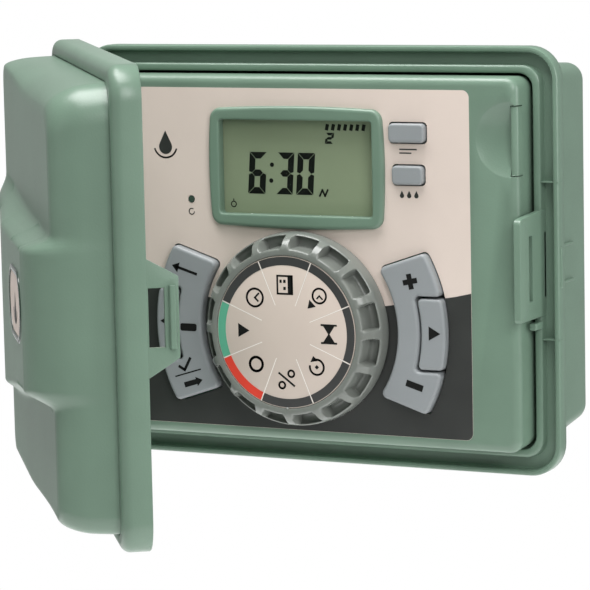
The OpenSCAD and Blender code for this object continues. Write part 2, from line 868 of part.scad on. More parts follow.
module left_arrow_key() {
    arrow_key(-1);
}

module right_arrow_key() {
    arrow_key(1);
}

module square_key(p, size) {
    color(key_grey) in_case() {
        slab(-panel_face - key_h + 1, -11) at(p) rounded(size[0], size[1], 1.8);
        slab(-12, -11) at(p) rounded(size[0] + 2, size[1] + 2, 1.8);
    }
}

module upper_key() {
    square_key(upper_key_pos, upper_key_size);
}

module lower_key() {
    square_key(lower_key_pos, lower_key_size);
}

module reset_button() {
    color([0.2, 0.35, 0.28]) in_case() {
        rod_y_at(reset_pos, 1.35, -panel_face - 0.2, -10);
        rod_y_at(reset_pos, 2.2, -11.2, -10);
    }
}

back_housing();
door_hinge_pins();
panel_hinge_pins();
inlet_bushing();
wire_bushing();
transformer_core();
transformer_coil();
transformer_bracket();
transformer_screws();
transformer_cover();
cover_screws();
terminal_board();
terminal_block();
terminal_screws();
board_screws();
header_socket();
door_shell();
door_badge();
panel_shell();
panel_latch();
faceplate_label();
lcd_bezel();
lcd_window();
lcd_cell();
lcd_frame();
contact_strips();
main_board();
microcontroller();
triacs();
capacitors();
rotary_switch();
keypad_mat();
standoff_screws();
battery_holder();
coin_cell();
panel_back_cover();
back_cover_screws();
dial_knob();
dial_disc();
dial_shaft();
left_rocker();
right_rocker();
left_arrow_key();
right_arrow_key();
upper_key();
lower_key();
reset_button();
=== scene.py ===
"""Irrigation controller: wall case, swing-out control panel and hinged cover, seen half open."""
import json
import math
from math import cos, radians, sin

import bmesh
import bpy
from mathutils import Matrix, Vector


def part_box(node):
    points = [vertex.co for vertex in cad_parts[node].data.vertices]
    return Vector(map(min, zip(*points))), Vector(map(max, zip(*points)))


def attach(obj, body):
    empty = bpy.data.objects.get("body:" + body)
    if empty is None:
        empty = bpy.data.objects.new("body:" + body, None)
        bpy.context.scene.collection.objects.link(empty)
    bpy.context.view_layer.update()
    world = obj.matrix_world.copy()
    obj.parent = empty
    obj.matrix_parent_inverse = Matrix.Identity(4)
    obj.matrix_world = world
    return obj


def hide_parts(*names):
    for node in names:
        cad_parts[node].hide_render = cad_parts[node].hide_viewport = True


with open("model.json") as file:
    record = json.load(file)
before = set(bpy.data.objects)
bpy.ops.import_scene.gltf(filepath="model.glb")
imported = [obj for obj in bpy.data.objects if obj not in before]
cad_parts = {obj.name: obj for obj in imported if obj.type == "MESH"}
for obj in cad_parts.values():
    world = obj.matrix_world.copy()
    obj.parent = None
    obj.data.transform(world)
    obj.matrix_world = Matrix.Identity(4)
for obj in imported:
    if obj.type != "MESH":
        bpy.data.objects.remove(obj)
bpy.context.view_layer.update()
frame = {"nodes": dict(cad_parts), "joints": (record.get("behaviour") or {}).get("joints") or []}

MM = 0.001
TAU = 2 * math.pi
PRINT = 0.05  # thickness of a printed mark, in millimetres

# ---- Places taken from the frame, in millimetres ----

# The panel face stands this far in front of the flange's rim, so the rim plane follows from the label
PANEL_FACE = 15.0
RIM_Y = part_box("faceplate_label")[0].y / MM + PANEL_FACE
JOINTS = {j["name"]: j for j in frame["joints"]}
DOOR_JOINT = JOINTS["door_hinge"]
DOOR_OPEN = radians(-DOOR_JOINT["range_deg"][0])
HINGE_X = DOOR_JOINT["pos_m"][0] / MM
HINGE_Y = DOOR_JOINT["pos_m"][1] / MM - RIM_Y
DIAL_Z = JOINTS["dial_turn"]["pos_m"][2] / MM

# ---- Mesh helpers: all shapes are drawn in millimetres from the rim plane ----


def case_space(p):
    return Vector((p[0], p[1] + RIM_Y, p[2])) * MM


def door_space(p):
    """A point of the closed door, turned to the angle at which the door stands."""
    dx, dy = p[0] - HINGE_X, p[1] - HINGE_Y
    c, s = cos(DOOR_OPEN), sin(DOOR_OPEN)
    return case_space((HINGE_X + dx * c + dy * s, HINGE_Y - dx * s + dy * c, p[2]))


def settle(obj, body, node=None):
    """Sets the body that a piece rides on and the CAD node that it stands in for."""
    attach(obj, body)
    if node:
        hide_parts(node)


def build(name, parts, material, body=None, node=None, space=case_space, sharp=32, smooth=True):
    """One object from several (vertices, faces) shells; a piece that is still to be cut names no body."""
    bm = bmesh.new()
    for points, faces in parts:
        made = [bm.verts.new(space(p)) for p in points]
        for f in faces:
            if len(set(f)) > 2:
                try:
                    bm.faces.new([made[i] for i in f])
                except ValueError:
                    pass
    bmesh.ops.remove_doubles(bm, verts=bm.verts, dist=1e-6)
    bmesh.ops.dissolve_degenerate(bm, edges=bm.edges, dist=1e-6)
    bmesh.ops.recalc_face_normals(bm, faces=bm.faces)
    mesh = bpy.data.meshes.new(name)
    bm.to_mesh(mesh)
    bm.free()
    obj = bpy.data.objects.new(name, mesh)
    bpy.context.scene.collection.objects.link(obj)
    if smooth:
        mesh.shade_smooth()
        mesh.set_sharp_from_angle(angle=radians(sharp))
    mesh.materials.append(material)
    if body:
        settle(obj, body, node)
    return obj


def arc(cx, cz, r, a0, a1, steps):
    return [(cx + r * cos(radians(a0 + (a1 - a0) * k / steps)),
             cz + r * sin(radians(a0 + (a1 - a0) * k / steps))) for k in range(steps + 1)]


def rounded_rect(x0, x1, z0, z1, r, corner=8, side=1, upper_r=None):
    """Counter-clockwise outline with the same number of points whatever its size.

    upper_r is the radius of the upper right corner where it differs from the others.
    """
    out = []
    u = upper_r or r
    centres = ((x1 - r, z0 + r, -90, r), (x1 - u, z1 - u, 0, u),
               (x0 + r, z1 - r, 90, r), (x0 + r, z0 + r, 180, r))
    for k, (cx, cz, a, own) in enumerate(centres):
        out += arc(cx, cz, own, a, a + 90, corner)
        nx, nz, na, nr = centres[(k + 1) % 4]
        start = out[-1]
        end = (nx + nr * cos(radians(na)), nz + nr * sin(radians(na)))
        out += [(start[0] + (end[0] - start[0]) * i / side, start[1] + (end[1] - start[1]) * i / side)
                for i in range(1, side)]
    return out


def centred_rect(half_x, half_z, r, corner=8, side=1, upper_r=None):
    return rounded_rect(-half_x, half_x, -half_z, half_z, r, corner, side, upper_r)


def fillet(corners, steps=6):
    """Outline from (x, z, radius) corners, each rounded by its radius; radius 0 keeps the point."""
    out = []
    n = len(corners)
    for i, (x, z, r) in enumerate(corners):
        if r <= 0:
            out.append((x, z))
            continue
        a = Vector(corners[i - 1][:2]) - Vector((x, z))
        b = Vector(corners[(i + 1) % n][:2]) - Vector((x, z))
        a.normalize(), b.normalize()
        half = a.angle(b) / 2
        reach = r / math.tan(half)
        centre = Vector((x, z)) + (a + b).normalized() * (r / sin(half))
        start, end = Vector((x, z)) + a * reach - centre, Vector((x, z)) + b * reach - centre
        a0 = math.atan2(start.y, start.x)
        turn = (math.atan2(end.y, end.x) - a0 + math.pi) % TAU - math.pi
        angles = [a0 + turn * k / steps for k in range(steps + 1)]
        out += [(centre.x + r * cos(a), centre.y + r * sin(a)) for a in angles]
    return out


def inset(outline, d):
    """Outline moved inward by d along its corner normals; it runs counter-clockwise."""
    n = len(outline)
    out = []
    for i in range(n):
        p = Vector(outline[i])
        e0 = p - Vector(outline[i - 1])
        e1 = Vector(outline[(i + 1) % n]) - p
        if e0.length < 1e-9 or e1.length < 1e-9:
            e0 = e1 = (e0 if e0.length > e1.length else e1)
        n0 = Vector((-e0.y, e0.x)).normalized()
        n1 = Vector((-e1.y, e1.x)).normalized()
        m = n0 + n1
        m = m / max(m.length_squared / 2, 0.5)
        out.append(tuple(p + m * d))
    return out


def skin(rings, close=(True, True), loop=False):
    """Shell through rings of 3-D points that all have the same count."""
    n = len(rings[0])
    points = [p for ring in rings for p in ring]
    faces = []
    pairs = len(rings) if loop else len(rings) - 1
    for k in range(pairs):
        a, b = k * n, ((k + 1) % len(rings)) * n
        faces += [(a + i, a + (i + 1) % n, b + (i + 1) % n, b + i) for i in range(n)]
    if not loop and close[0]:
        faces.append(tuple(range(n - 1, -1, -1)))
    if not loop and close[1]:
        faces.append(tuple((len(rings) - 1) * n + i for i in range(n)))
    return points, faces


def at_depth(outline, y):
    return [(x, y, z) for x, z in outline]


def slab(outline, y_back, y_front):
    return skin([at_depth(outline, y_back), at_depth(outline, y_front)])


def upright(outline, steps):
    """Shell drawn in (y, z) and stacked along X, from (x, inset) steps."""
    return skin([[(x, y, z) for y, z in inset(outline, d)] for x, d in steps])


def pad(outline, y_back, y_front, edge=0.6, steps=4, back_edge=0.15):
    """Plate with a rounded front edge and a slightly broken back edge."""
    rings = [at_depth(inset(outline, back_edge), y_back), at_depth(outline, y_back - back_edge)]
    for k in range(steps + 1):
        a = math.pi / 2 * k / steps
        rings.append(at_depth(inset(outline, edge * (1 - cos(a))), y_front + edge * (1 - sin(a))))
    rings.append(at_depth(inset(outline, edge * 1.12), y_front))
    return skin(rings)


def block(x, y, z, edge=0.3):
    """Box with rounded edges."""
    edge = min(edge, 0.3 * min(x[1] - x[0], y[1] - y[0], z[1] - z[0]))
    return pad(rounded_rect(x[0], x[1], z[0], z[1], edge * 1.3, 3), y[1], y[0], edge, 3, edge)


def box_cutter(x, y, z):
    """Plain box that only ever takes material away."""
    return slab([(x[0], z[0]), (x[1], z[0]), (x[1], z[1]), (x[0], z[1])], y[1], y[0])


def rod(p, q, r, steps=32, edge=0.2):
    """Round bar from p to q with broken edges."""
    p, q = Vector(p), Vector(q)
    axis = (q - p).normalized()
    side = axis.orthogonal().normalized()
    up = axis.cross(side)
    rings = []
    for centre, radius in ((p, r - edge), (p + axis * edge, r), (q - axis * edge, r), (q, r - edge)):
        rings.append([tuple(centre + side * radius * cos(TAU * k / steps)
                            + up * radius * sin(TAU * k / steps)) for k in range(steps)])
    return skin(rings)


def revolve(profile, centre):
    """Closed (radius, depth) profile turned about the Y axis through centre (x, z)."""
    rings, steps = [], 96
    for k in range(steps):
        c, s = cos(TAU * k / steps), sin(TAU * k / steps)
        rings.append([(centre[0] + r * c, y, centre[1] + r * s) for r, y in profile])
    return skin(rings, loop=True)


def plate(outline, y, thick=PRINT):
    """Flat printed patch that stands out from depth y."""
    return slab(outline, y, y - thick)


def stroke(points, width, y, thick=PRINT, closed=False):
    """Flat printed line of constant width along (x, z) points."""
    shells = []
    n = len(points)
    for i in range(n if closed else n - 1):
        a, b = Vector(points[i]), Vector(points[(i + 1) % n])
        d = (b - a).normalized() * width / 2
        s = Vector((-d.y, d.x))
        shells.append(plate([tuple(v) for v in (a - d + s, a - d - s, b + d - s, b + d + s)], y, thick))
    return shells


def ring_plate(r0, r1, a0, a1, y, steps=24):
    """Flat printed piece of a ring round the dial's middle, from angle a0 to a1 in degrees."""
    outline = arc(0, DIAL_Z, r1, a0, a1, steps) + arc(0, DIAL_Z, r0, a1, a0, steps)
    n = len(outline)
    points = at_depth(outline, y) + at_depth(outline, y - 0.06)
    faces = [(i, (i + 1) % n, n + (i + 1) % n, n + i) for i in range(n)]
    for k in range(steps):
        faces.append((k, k + 1, n - 2 - k, n - 1 - k))
        faces.append((n + k, n + k + 1, 2 * n - 2 - k, 2 * n - 1 - k))
    return points, faces


# ---- Printed marks: lists of filled outlines and of lines, round their own middle ----


def fill(*points):
    return "fill", points


def square(x0, x1, z0, z1):
    return fill((x0, z0), (x1, z0), (x1, z1), (x0, z1))


def line(points, width, closed=False):
    return "line", points, width, closed


def ring_points(r, a0=0, a1=360, steps=28, x=0.0, z=0.0):
    points = arc(x, z, r, a0, a1, steps)
    return points[:-1] if a1 - a0 == 360 else points


def draw(items, cx, cz, turn, y, scale=1.0):
    """Shells of a mark turned by an angle in degrees and placed at (cx, cz)."""
    c, s = cos(radians(turn)) * scale, sin(radians(turn)) * scale
    out = []
    for item in items:
        points = [(cx + c * u - s * v, cz + s * u + c * v) for u, v in item[1]]
        if item[0] == "fill":
            out.append(plate(points, y))
        else:
            out += stroke(points, item[2] * scale, y, closed=item[3])
    return out


def drop_points(r):
    """A falling drop: round below, pointed above."""
    tip = r * 2.2
    side = math.degrees(math.asin(r / tip))
    return [(0.0, tip - r * 0.6)] + [(x, z - r * 0.6) for x, z in arc(0, 0, r, 180 - side, 360 + side, 24)]


PLAY = [fill((2.6, 0), (-2.0, 2.6), (-2.0, -2.6))]
OFF = [line(ring_points(2.6), 0.95, True)]
CLOCK = [line(ring_points(3.3), 0.75, True), line([(0, 2.1), (0, 0), (1.7, 0)], 0.7)]
CALENDAR = [line([(-3.3, -3), (3.3, -3), (3.3, 3), (-3.3, 3)], 0.7, True), square(-3.3, 3.3, 1.2, 3),
            square(-1.9, -0.7, -0.6, 0.4), square(0.7, 1.9, -0.6, 0.4), square(-1.9, -0.7, -2.1, -1.2)]
START = [line(ring_points(2.7, x=-2.2), 0.7, True), line([(-2.2, 1.6), (-2.2, 0), (-0.9, 0)], 0.6),
         fill((4.6, 0), (1.7, 1.8), (1.7, -1.8))]
GLASS = [fill((-2.3, 3), (2.3, 3), (0.25, 0), (-0.25, 0)), fill((-0.25, 0), (0.25, 0), (2.3, -3), (-2.3, -3)),
         line([(-2.9, 3.3), (2.9, 3.3)], 0.7), line([(-2.9, -3.3), (2.9, -3.3)], 0.7)]
REPEAT = [line(ring_points(2.8, 40, 330), 0.75), fill((3.9, -1.9), (1.2, -2.2), (3.1, 0.6)),
          square(-0.6, 0.6, -0.6, 0.6)]
PERCENT = [line([(-2.2, -3.0), (2.2, 3.0)], 0.75), line(ring_points(1.2, steps=16, x=-2.2, z=1.9), 0.7, True),
           line(ring_points(1.2, steps=16, x=2.2, z=-1.9), 0.7, True)]
BACK = [line([(-3.2, 0), (5.0, 0)], 1.0), fill((-5.2, 0), (-2.4, -1.9), (-2.4, 1.9))]
PLUS = [fill((3.2, -1.1), (3.2, 1.1), (1.1, 1.1), (1.1, 3.2), (-1.1, 3.2), (-1.1, 1.1), (-3.2, 1.1),
             (-3.2, -1.1), (-1.1, -1.1), (-1.1, -3.2), (1.1, -3.2), (1.1, -1.1))]
MINUS = [line([(-2.5, 0), (2.5, 0)], 2.7)]
DASH = [fill(*rounded_rect(-3.85, 3.85, -1.6, 1.6, 0.9, 6))]
TICK = [line([(-2.4, 2.6), (-0.9, 1.1), (2.2, 4.2)], 0.95), line([(-4.9, -0.2), (4.9, -0.2)], 0.45),
        fill((-2.6, -2.9), (-2.6, -4.7), (2.2, -4.7), (2.2, -2.9)),
        fill((2.2, -2.2), (2.2, -5.4), (4.6, -3.8))]
BARS = [line([(-3.6, 0.9), (3.6, 0.9)], 0.55), line([(-3.6, -0.6), (1.2, -0.6)], 0.55)]
SMALL_RING = [line(ring_points(1.15, steps=16), 0.42, True), line([(0, 2.1), (0, 1.6)], 0.42)]
ZIGZAG = [line([(-1.9, -1.2), (-0.7, 1.2), (0.5, -1.2), (1.7, 1.2)], 0.8)]
DIAL_MARKS = (CALENDAR, CLOCK, PLAY, OFF, PERCENT, REPEAT, GLASS, START)

# ---- Materials ----


def new_material(name):
    m = bpy.data.materials.new(name)
    m.use_nodes = True
    return m, m.node_tree.nodes, m.node_tree.links, m.node_tree.nodes["Principled BSDF"]


def mottled(name, colour, vary=0.06, rough=(0.38, 0.5), grain=900.0, bump=0.08, metallic=0.0,
            specular=0.5, patch=35.0):
    """Surface with slow colour drift and with fine grain in its height and its roughness."""
    m, nodes, links, shader = new_material(name)
    where = nodes.new("ShaderNodeTexCoord")
    slow = nodes.new("ShaderNodeTexNoise")
    slow.inputs["Scale"].default_value = patch
    slow.inputs["Detail"].default_value = 5
    fine = nodes.new("ShaderNodeTexNoise")
    fine.inputs["Scale"].default_value = grain
    fine.inputs["Detail"].default_value = 3
    ramp = nodes.new("ShaderNodeValToRGB")
    ramp.color_ramp.elements[0].position, ramp.color_ramp.elements[1].position = 0.3, 0.7
    ramp.color_ramp.elements[0].color = [c * (1 - vary) for c in colour] + [1]
    ramp.color_ramp.elements[1].color = [min(1, c * (1 + vary)) for c in colour] + [1]
    spread = nodes.new("ShaderNodeMapRange")
    spread.inputs["To Min"].default_value, spread.inputs["To Max"].default_value = rough
    height = nodes.new("ShaderNodeBump")
    height.inputs["Strength"].default_value = bump
    height.inputs["Distance"].default_value = 0.0003
    for noise in (slow, fine):
        links.new(where.outputs["Object"], noise.inputs["Vector"])
    links.new(slow.outputs["Fac"], ramp.inputs["Fac"])
    links.new(ramp.outputs["Color"], shader.inputs["Base Color"])
    links.new(fine.outputs["Fac"], spread.inputs["Value"])
    links.new(spread.outputs["Result"], shader.inputs["Roughness"])
    links.new(fine.outputs["Fac"], height.inputs["Height"])
    links.new(height.outputs["Normal"], shader.inputs["Normal"])
    shader.inputs["Metallic"].default_value = metallic
    shader.inputs["Specular IOR Level"].default_value = specular
    return m


GREEN = mottled("moulded_green", (0.140, 0.217, 0.161), 0.05, (0.27, 0.38), 1300, 0.17)
KNOB = mottled("knob_plastic", (0.172, 0.185, 0.168), 0.05, (0.15, 0.24), 1500, 0.08)
KEY = mottled("key_plastic", (0.258, 0.276, 0.285), 0.03, (0.36, 0.46), 1800, 0.06)
LABEL = mottled("label_film", (0.660, 0.565, 0.505), 0.025, (0.42, 0.55), 2600, 0.10)
DISC = mottled("disc_film", (0.580, 0.495, 0.435), 0.025, (0.42, 0.55), 2600, 0.08)
INK = mottled("dark_ink", (0.026, 0.028, 0.026), 0.2, (0.38, 0.52), 2600, 0.10)
BLACK_INK = mottled("black_ink", (0.007, 0.0075, 0.007), 0.2, (0.6, 0.7), 2600, 0.05, specular=0.15)
WHITE_INK = mottled("white_ink", (0.80, 0.77, 0.73), 0.03, (0.4, 0.5), 2600, 0.05)
RING_GREEN = mottled("ring_green", (0.095, 0.36, 0.235), 0.05, (0.4, 0.5), 2600, 0.05)
RING_RED = mottled("ring_red", (0.62, 0.045, 0.025), 0.05, (0.4, 0.5), 2600, 0.05)
RING_DARK = mottled("ring_dark", (0.040, 0.040, 0.040), 0.1, (0.4, 0.5), 2600, 0.05)
BADGE = mottled("badge_plastic", (0.035, 0.060, 0.045), 0.06, (0.12, 0.2), 1500, 0.05)
LCD_BACK = mottled("lcd_polariser", (0.245, 0.300, 0.190), 0.02, (0.3, 0.38), 1200, 0.03, patch=12)
LCD_INK = mottled("lcd_segment", (0.006, 0.007, 0.006), 0.2, (0.3, 0.4), 1200, 0.02, specular=0.15)
STEEL = mottled("zinc_steel", (0.55, 0.55, 0.56), 0.08, (0.22, 0.4), 700, 0.1, 1.0)
DARK = mottled("dark_moulding", (0.030, 0.032, 0.033), 0.15, (0.4, 0.55), 1500, 0.12)
RUBBER = mottled("black_rubber", (0.018, 0.018, 0.018), 0.2, (0.6, 0.75), 1200, 0.2)
BOARD = mottled("circuit_board", (0.012, 0.13, 0.05), 0.12, (0.25, 0.35), 400, 0.15)
TAPE = mottled("yellow_tape", (0.55, 0.38, 0.06), 0.06, (0.3, 0.42), 500, 0.1)
IRON = mottled("lacquered_iron", (0.05, 0.05, 0.055), 0.2, (0.35, 0.5), 500, 0.2, 0.6)
SLEEVE = mottled("capacitor_sleeve", (0.02, 0.03, 0.14), 0.1, (0.2, 0.3), 600, 0.05)
NYLON = mottled("white_nylon", (0.72, 0.71, 0.67), 0.04, (0.4, 0.5), 900, 0.08)
SILICONE = mottled("grey_silicone", (0.42, 0.44, 0.45), 0.05, (0.55, 0.65), 900, 0.12)


def clear_window():
    """Clear plastic with a slight haze."""
    m, nodes, links, shader = new_material("clear_window")
    where = nodes.new("ShaderNodeTexCoord")
    haze = nodes.new("ShaderNodeTexNoise")
    haze.inputs["Scale"].default_value = 300
    spread = nodes.new("ShaderNodeMapRange")
    spread.inputs["To Min"].default_value, spread.inputs["To Max"].default_value = 0.02, 0.06
    links.new(where.outputs["Object"], haze.inputs["Vector"])
    links.new(haze.outputs["Fac"], spread.inputs["Value"])
    links.new(spread.outputs["Result"], shader.inputs["Roughness"])
    shader.inputs["Base Color"].default_value = (0.02, 0.03, 0.02, 1)
    shader.inputs["Alpha"].default_value = 0.03
    return m


CLEAR = clear_window()

NODE_MATERIALS = {
    STEEL: ("door_hinge_pins", "panel_hinge_pins", "transformer_screws", "cover_screws", "terminal_screws",
            "board_screws", "standoff_screws", "back_cover_screws", "transformer_bracket", "coin_cell"),
    RUBBER: ("inlet_bushing", "wire_bushing", "contact_strips"),
    IRON: ("transformer_core",),
    TAPE: ("transformer_coil",),
    DARK: ("transformer_cover", "terminal_block", "header_socket", "battery_holder", "panel_back_cover",
           "rotary_switch", "microcontroller", "triacs"),
    SLEEVE: ("capacitors",),
    BOARD: ("terminal_board", "main_board"),
    LABEL: ("faceplate_label",),
    DISC: ("dial_disc",),
    CLEAR: ("lcd_window",),
    LCD_BACK: ("lcd_cell",),
    NYLON: ("lcd_frame", "dial_shaft"),
    SILICONE: ("keypad_mat",),
    BADGE: ("reset_button", "door_badge"),
    GREEN: ("back_housing", "door_shell", "panel_shell", "panel_latch", "lcd_bezel"),
    KNOB: ("dial_knob",),
    KEY: ("left_rocker", "right_rocker", "left_arrow_key", "right_arrow_key", "upper_key", "lower_key"),
}
for material, names in NODE_MATERIALS.items():
    for node in names:
        mesh = frame["nodes"][node].data
        mesh.materials.clear()
        mesh.materials.append(material)

# ---- Camera, light and floor ----

SCREEN_WAY = (-0.4387, 0.8891, -0.1306)  # towards the white screen, straight behind the object
SCREEN_EDGE = (0.955, 0.984)  # cosines between which the screen fades out
SURROUND = 0.29  # strength of the light from everywhere else


def set_camera():
    yaw, rise, roll = radians(26.264), radians(7.502), radians(-1.220)
    back = Vector((sin(yaw) * cos(rise), -cos(yaw) * cos(rise), sin(rise)))
    level = (-back).cross(Vector((0, 0, 1))).normalized()
    upright = level.cross(-back)
    right = level * cos(roll) + upright * sin(roll)
    up = upright * cos(roll) - level * sin(roll)
    place = case_space((565.4, -1165.7, 154.1))
    data = bpy.data.cameras.new("camera")
    data.lens, data.sensor_width = 190.73, 36
    data.clip_end = 30
    camera = bpy.data.objects.new("camera", data)
    turn = Matrix((right, up, back)).transposed().to_4x4()
    camera.matrix_world = Matrix.Translation(place) @ turn
    bpy.context.scene.collection.objects.link(camera)
    bpy.context.scene.camera = camera


def area_light(name, place, target, size, watts):
    data = bpy.data.lights.new(name, "AREA")
    data.shape = "RECTANGLE"
    data.size, data.size_y = size
    data.energy = watts
    lamp = bpy.data.objects.new(name, data)
    lamp.location = place
    lamp.rotation_euler = (Vector(target) - Vector(place)).to_track_quat("-Z", "Y").to_euler()
    bpy.context.scene.collection.objects.link(lamp)


def light_scene():
    """Softboxes round the object and a white screen far behind it."""
    world = bpy.data.worlds.new("studio")
    world.use_nodes = True
    nodes, links = world.node_tree.nodes, world.node_tree.links
    shine = nodes["Background"]
    shine.inputs["Color"].default_value = (1, 1, 1, 1)
    where = nodes.new("ShaderNodeTexCoord")
    towards = nodes.new("ShaderNodeVectorMath")
    towards.operation = "DOT_PRODUCT"
    towards.inputs[1].default_value = SCREEN_WAY
    spread = nodes.new("ShaderNodeMapRange")
    spread.interpolation_type = "SMOOTHSTEP"
    spread.inputs["From Min"].default_value, spread.inputs["From Max"].default_value = SCREEN_EDGE
    spread.inputs["To Min"].default_value, spread.inputs["To Max"].default_value = SURROUND, 1.0
    links.new(where.outputs["Generated"], towards.inputs[0])
    links.new(towards.outputs["Value"], spread.inputs["Value"])
    links.new(spread.outputs["Result"], shine.inputs["Strength"])
    bpy.context.scene.world = world
    bpy.context.scene.view_settings.view_transform = "Standard"
    area_light("top_softbox", (-0.10, -0.30, 1.05), (0, -0.1, 0), (1.0, 0.6), 20)
    area_light("right_softbox", (1.05, -1.05, 0.70), (0, -0.12, 0), (0.7, 0.7), 10.5)
    area_light("left_softbox", (-0.85, -1.6, 0.35), (0, -0.1, 0), (0.7, 0.9), 0.8)
    area_light("side_softbox", (1.6, 0.1, 0.3), (0, -0.03, 0), (0.5, 0.8), 8.5)


def lay_floor():
    """Pale disc of one metre radius well below the object."""
    floor_z, steps = -0.42, 96
    outline = [(cos(TAU * k / steps), sin(TAU * k / steps), floor_z) for k in range(steps)]
    mesh = bpy.data.meshes.new("floor")
    mesh.from_pydata(outline, [], [tuple(range(steps))])
    obj = bpy.data.objects.new("floor", mesh)
    bpy.context.scene.collection.objects.link(obj)
    paint = mottled("floor_paint", (0.92, 0.92, 0.92), 0.01, (0.8, 0.9), 40, 0.02)
    shader = paint.node_tree.nodes["Principled BSDF"]
    shader.inputs["Emission Color"].default_value = (1, 1, 1, 1)
    shader.inputs["Emission Strength"].default_value = 0.45
    mesh.materials.append(paint)


set_camera()
light_scene()
lay_floor()

# ---- Case ----

FLANGE = (108.8, 87.5)  # half width and half height
BOX_FRONT = (100.7, -77.4, 79.2)  # half width, bottom and top behind the flange
BOX_BACK = (99.5, -72.9, 77.9)  # the same at the wall
BOX_START = 7.0  # depth at which the back box leaves the flange
BACK_ROUND = 5.5
CASE_DEPTH = -RIM_Y
WALL = 2.6
HINGE_Z = 55  # height of each door hinge above and below the middle
KNUCKLE_R = 2.7
STRIKE_SLOT = ((2.9, 4.4), (-14, 12.5))  # depth and height of the slot that the tab's hook enters
BUSHINGS = ((66, 15.1, 11.1), (-40, 17, 13))  # place along the floor, radius of the boss and of its bore

# Inset from the flange's outer edge and depth, from behind over the rim and the water groove into the mouth
FLANGE_SECTION = ((8.0, 7.0), (0.7, 7.0), (0.2, 6.8), (0, 6.3), (0, 1.2), (0.12, 0.6), (0.45, 0.15), (1.0, 0),
                  (1.5, 0), (2.05, 0.15), (2.38, 0.6), (2.5, 1.1), (2.55, 4.0), (2.9, 4.5), (7.2, 4.5),
                  (7.5, 4.1), (7.6, 1.2), (7.75, 0.5), (8.2, 0.1), (8.8, 0.0), (10.0, 0.0), (10.45, 0.15),
                  (10.75, 0.5), (10.8, 1.0), (10.8, 6.8))


def flange_radius(d):
    """Corner radius of a ring that lies d inside the flange's outer edge."""
    marks = ((0, 13.5), (2.5, 11.0), (7.6, 7.8), (10.8, 6.0), (30, 5.0))
    for (d0, r0), (d1, r1) in zip(marks, marks[1:]):
        if d <= d1:
            return r0 + (r1 - r0) * (d - d0) / (d1 - d0)
    return marks[-1][1]


def flange_ring(d, y):
    return at_depth(centred_rect(FLANGE[0] - d, FLANGE[1] - d, flange_radius(d), 10, 10), y)


def box_ring(y, shrink=0.0, wall=0.0):
    """Ring of the drafted back box at depth y, pulled in by shrink and by a wall."""
    t = (y - BOX_START) / (CASE_DEPTH - BACK_ROUND - BOX_START)
    half = BOX_FRONT[0] + (BOX_BACK[0] - BOX_FRONT[0]) * t - shrink - wall
    low = BOX_FRONT[1] + (BOX_BACK[1] - BOX_FRONT[1]) * t + shrink + wall
    high = BOX_FRONT[2] + (BOX_BACK[2] - BOX_FRONT[2]) * t - shrink - wall
    return at_depth(rounded_rect(-half, half, low, high, 7 - wall, 10, 10), y)


def housing_shell():
    """Flange and inner skin in one shell, and the outer skin of the back box in another."""
    turn = math.pi / 2
    front = [flange_ring(d, y) for d, y in FLANGE_SECTION]
    front += [box_ring(7.4, 0.15, WALL), box_ring(30, 0, WALL), box_ring(CASE_DEPTH - 7, 0, WALL)]
    front += [box_ring(CASE_DEPTH - WALL - 3 + 3 * sin(a), 3 * (1 - cos(a)), WALL)
              for a in (0.0, 0.5, 1.0, turn)]
    rear = [flange_ring(*FLANGE_SECTION[0])]
    rear += [box_ring(BOX_START), box_ring(30), box_ring(CASE_DEPTH - BACK_ROUND)]
    rear += [box_ring(CASE_DEPTH - BACK_ROUND + BACK_ROUND * sin(a), BACK_ROUND * (1 - cos(a)))
             for a in (0.25, 0.5, 0.8, 1.1, 1.35, turn)]
    return [skin(rings, close=(False, True)) for rings in (front, rear)]


def cut(obj, cutters, space=case_space, sharp=32, kind="DIFFERENCE"):
    """Takes closed shells out of an object, or adds them to it, and applies the result."""
    tool = build(obj.name + "_cutter", cutters, GREEN, space=space, smooth=False)
    change = obj.modifiers.new("cut", "BOOLEAN")
    change.operation, change.solver, change.object = kind, "EXACT", tool
    graph = bpy.context.evaluated_depsgraph_get()
    mesh = bpy.data.meshes.new_from_object(obj.evaluated_get(graph))
    obj.modifiers.clear()
    obj.data = mesh
    mesh.shade_smooth()
    mesh.set_sharp_from_angle(angle=radians(sharp))
    bpy.data.objects.remove(tool)


def strike_plate():
    """Upright plate on the lip with a slanted top edge."""
    outline = fillet([(-23, -21.5, 1.5), (5.9, -21.5, 0.6), (5.9, 21.8, 0.6), (-23, 20, 2.4)])
    return upright(outline, ((98.5, 0.35), (98.75, 0.0), (101.1, 0.0), (101.35, 0.12), (101.5, 0.4)))


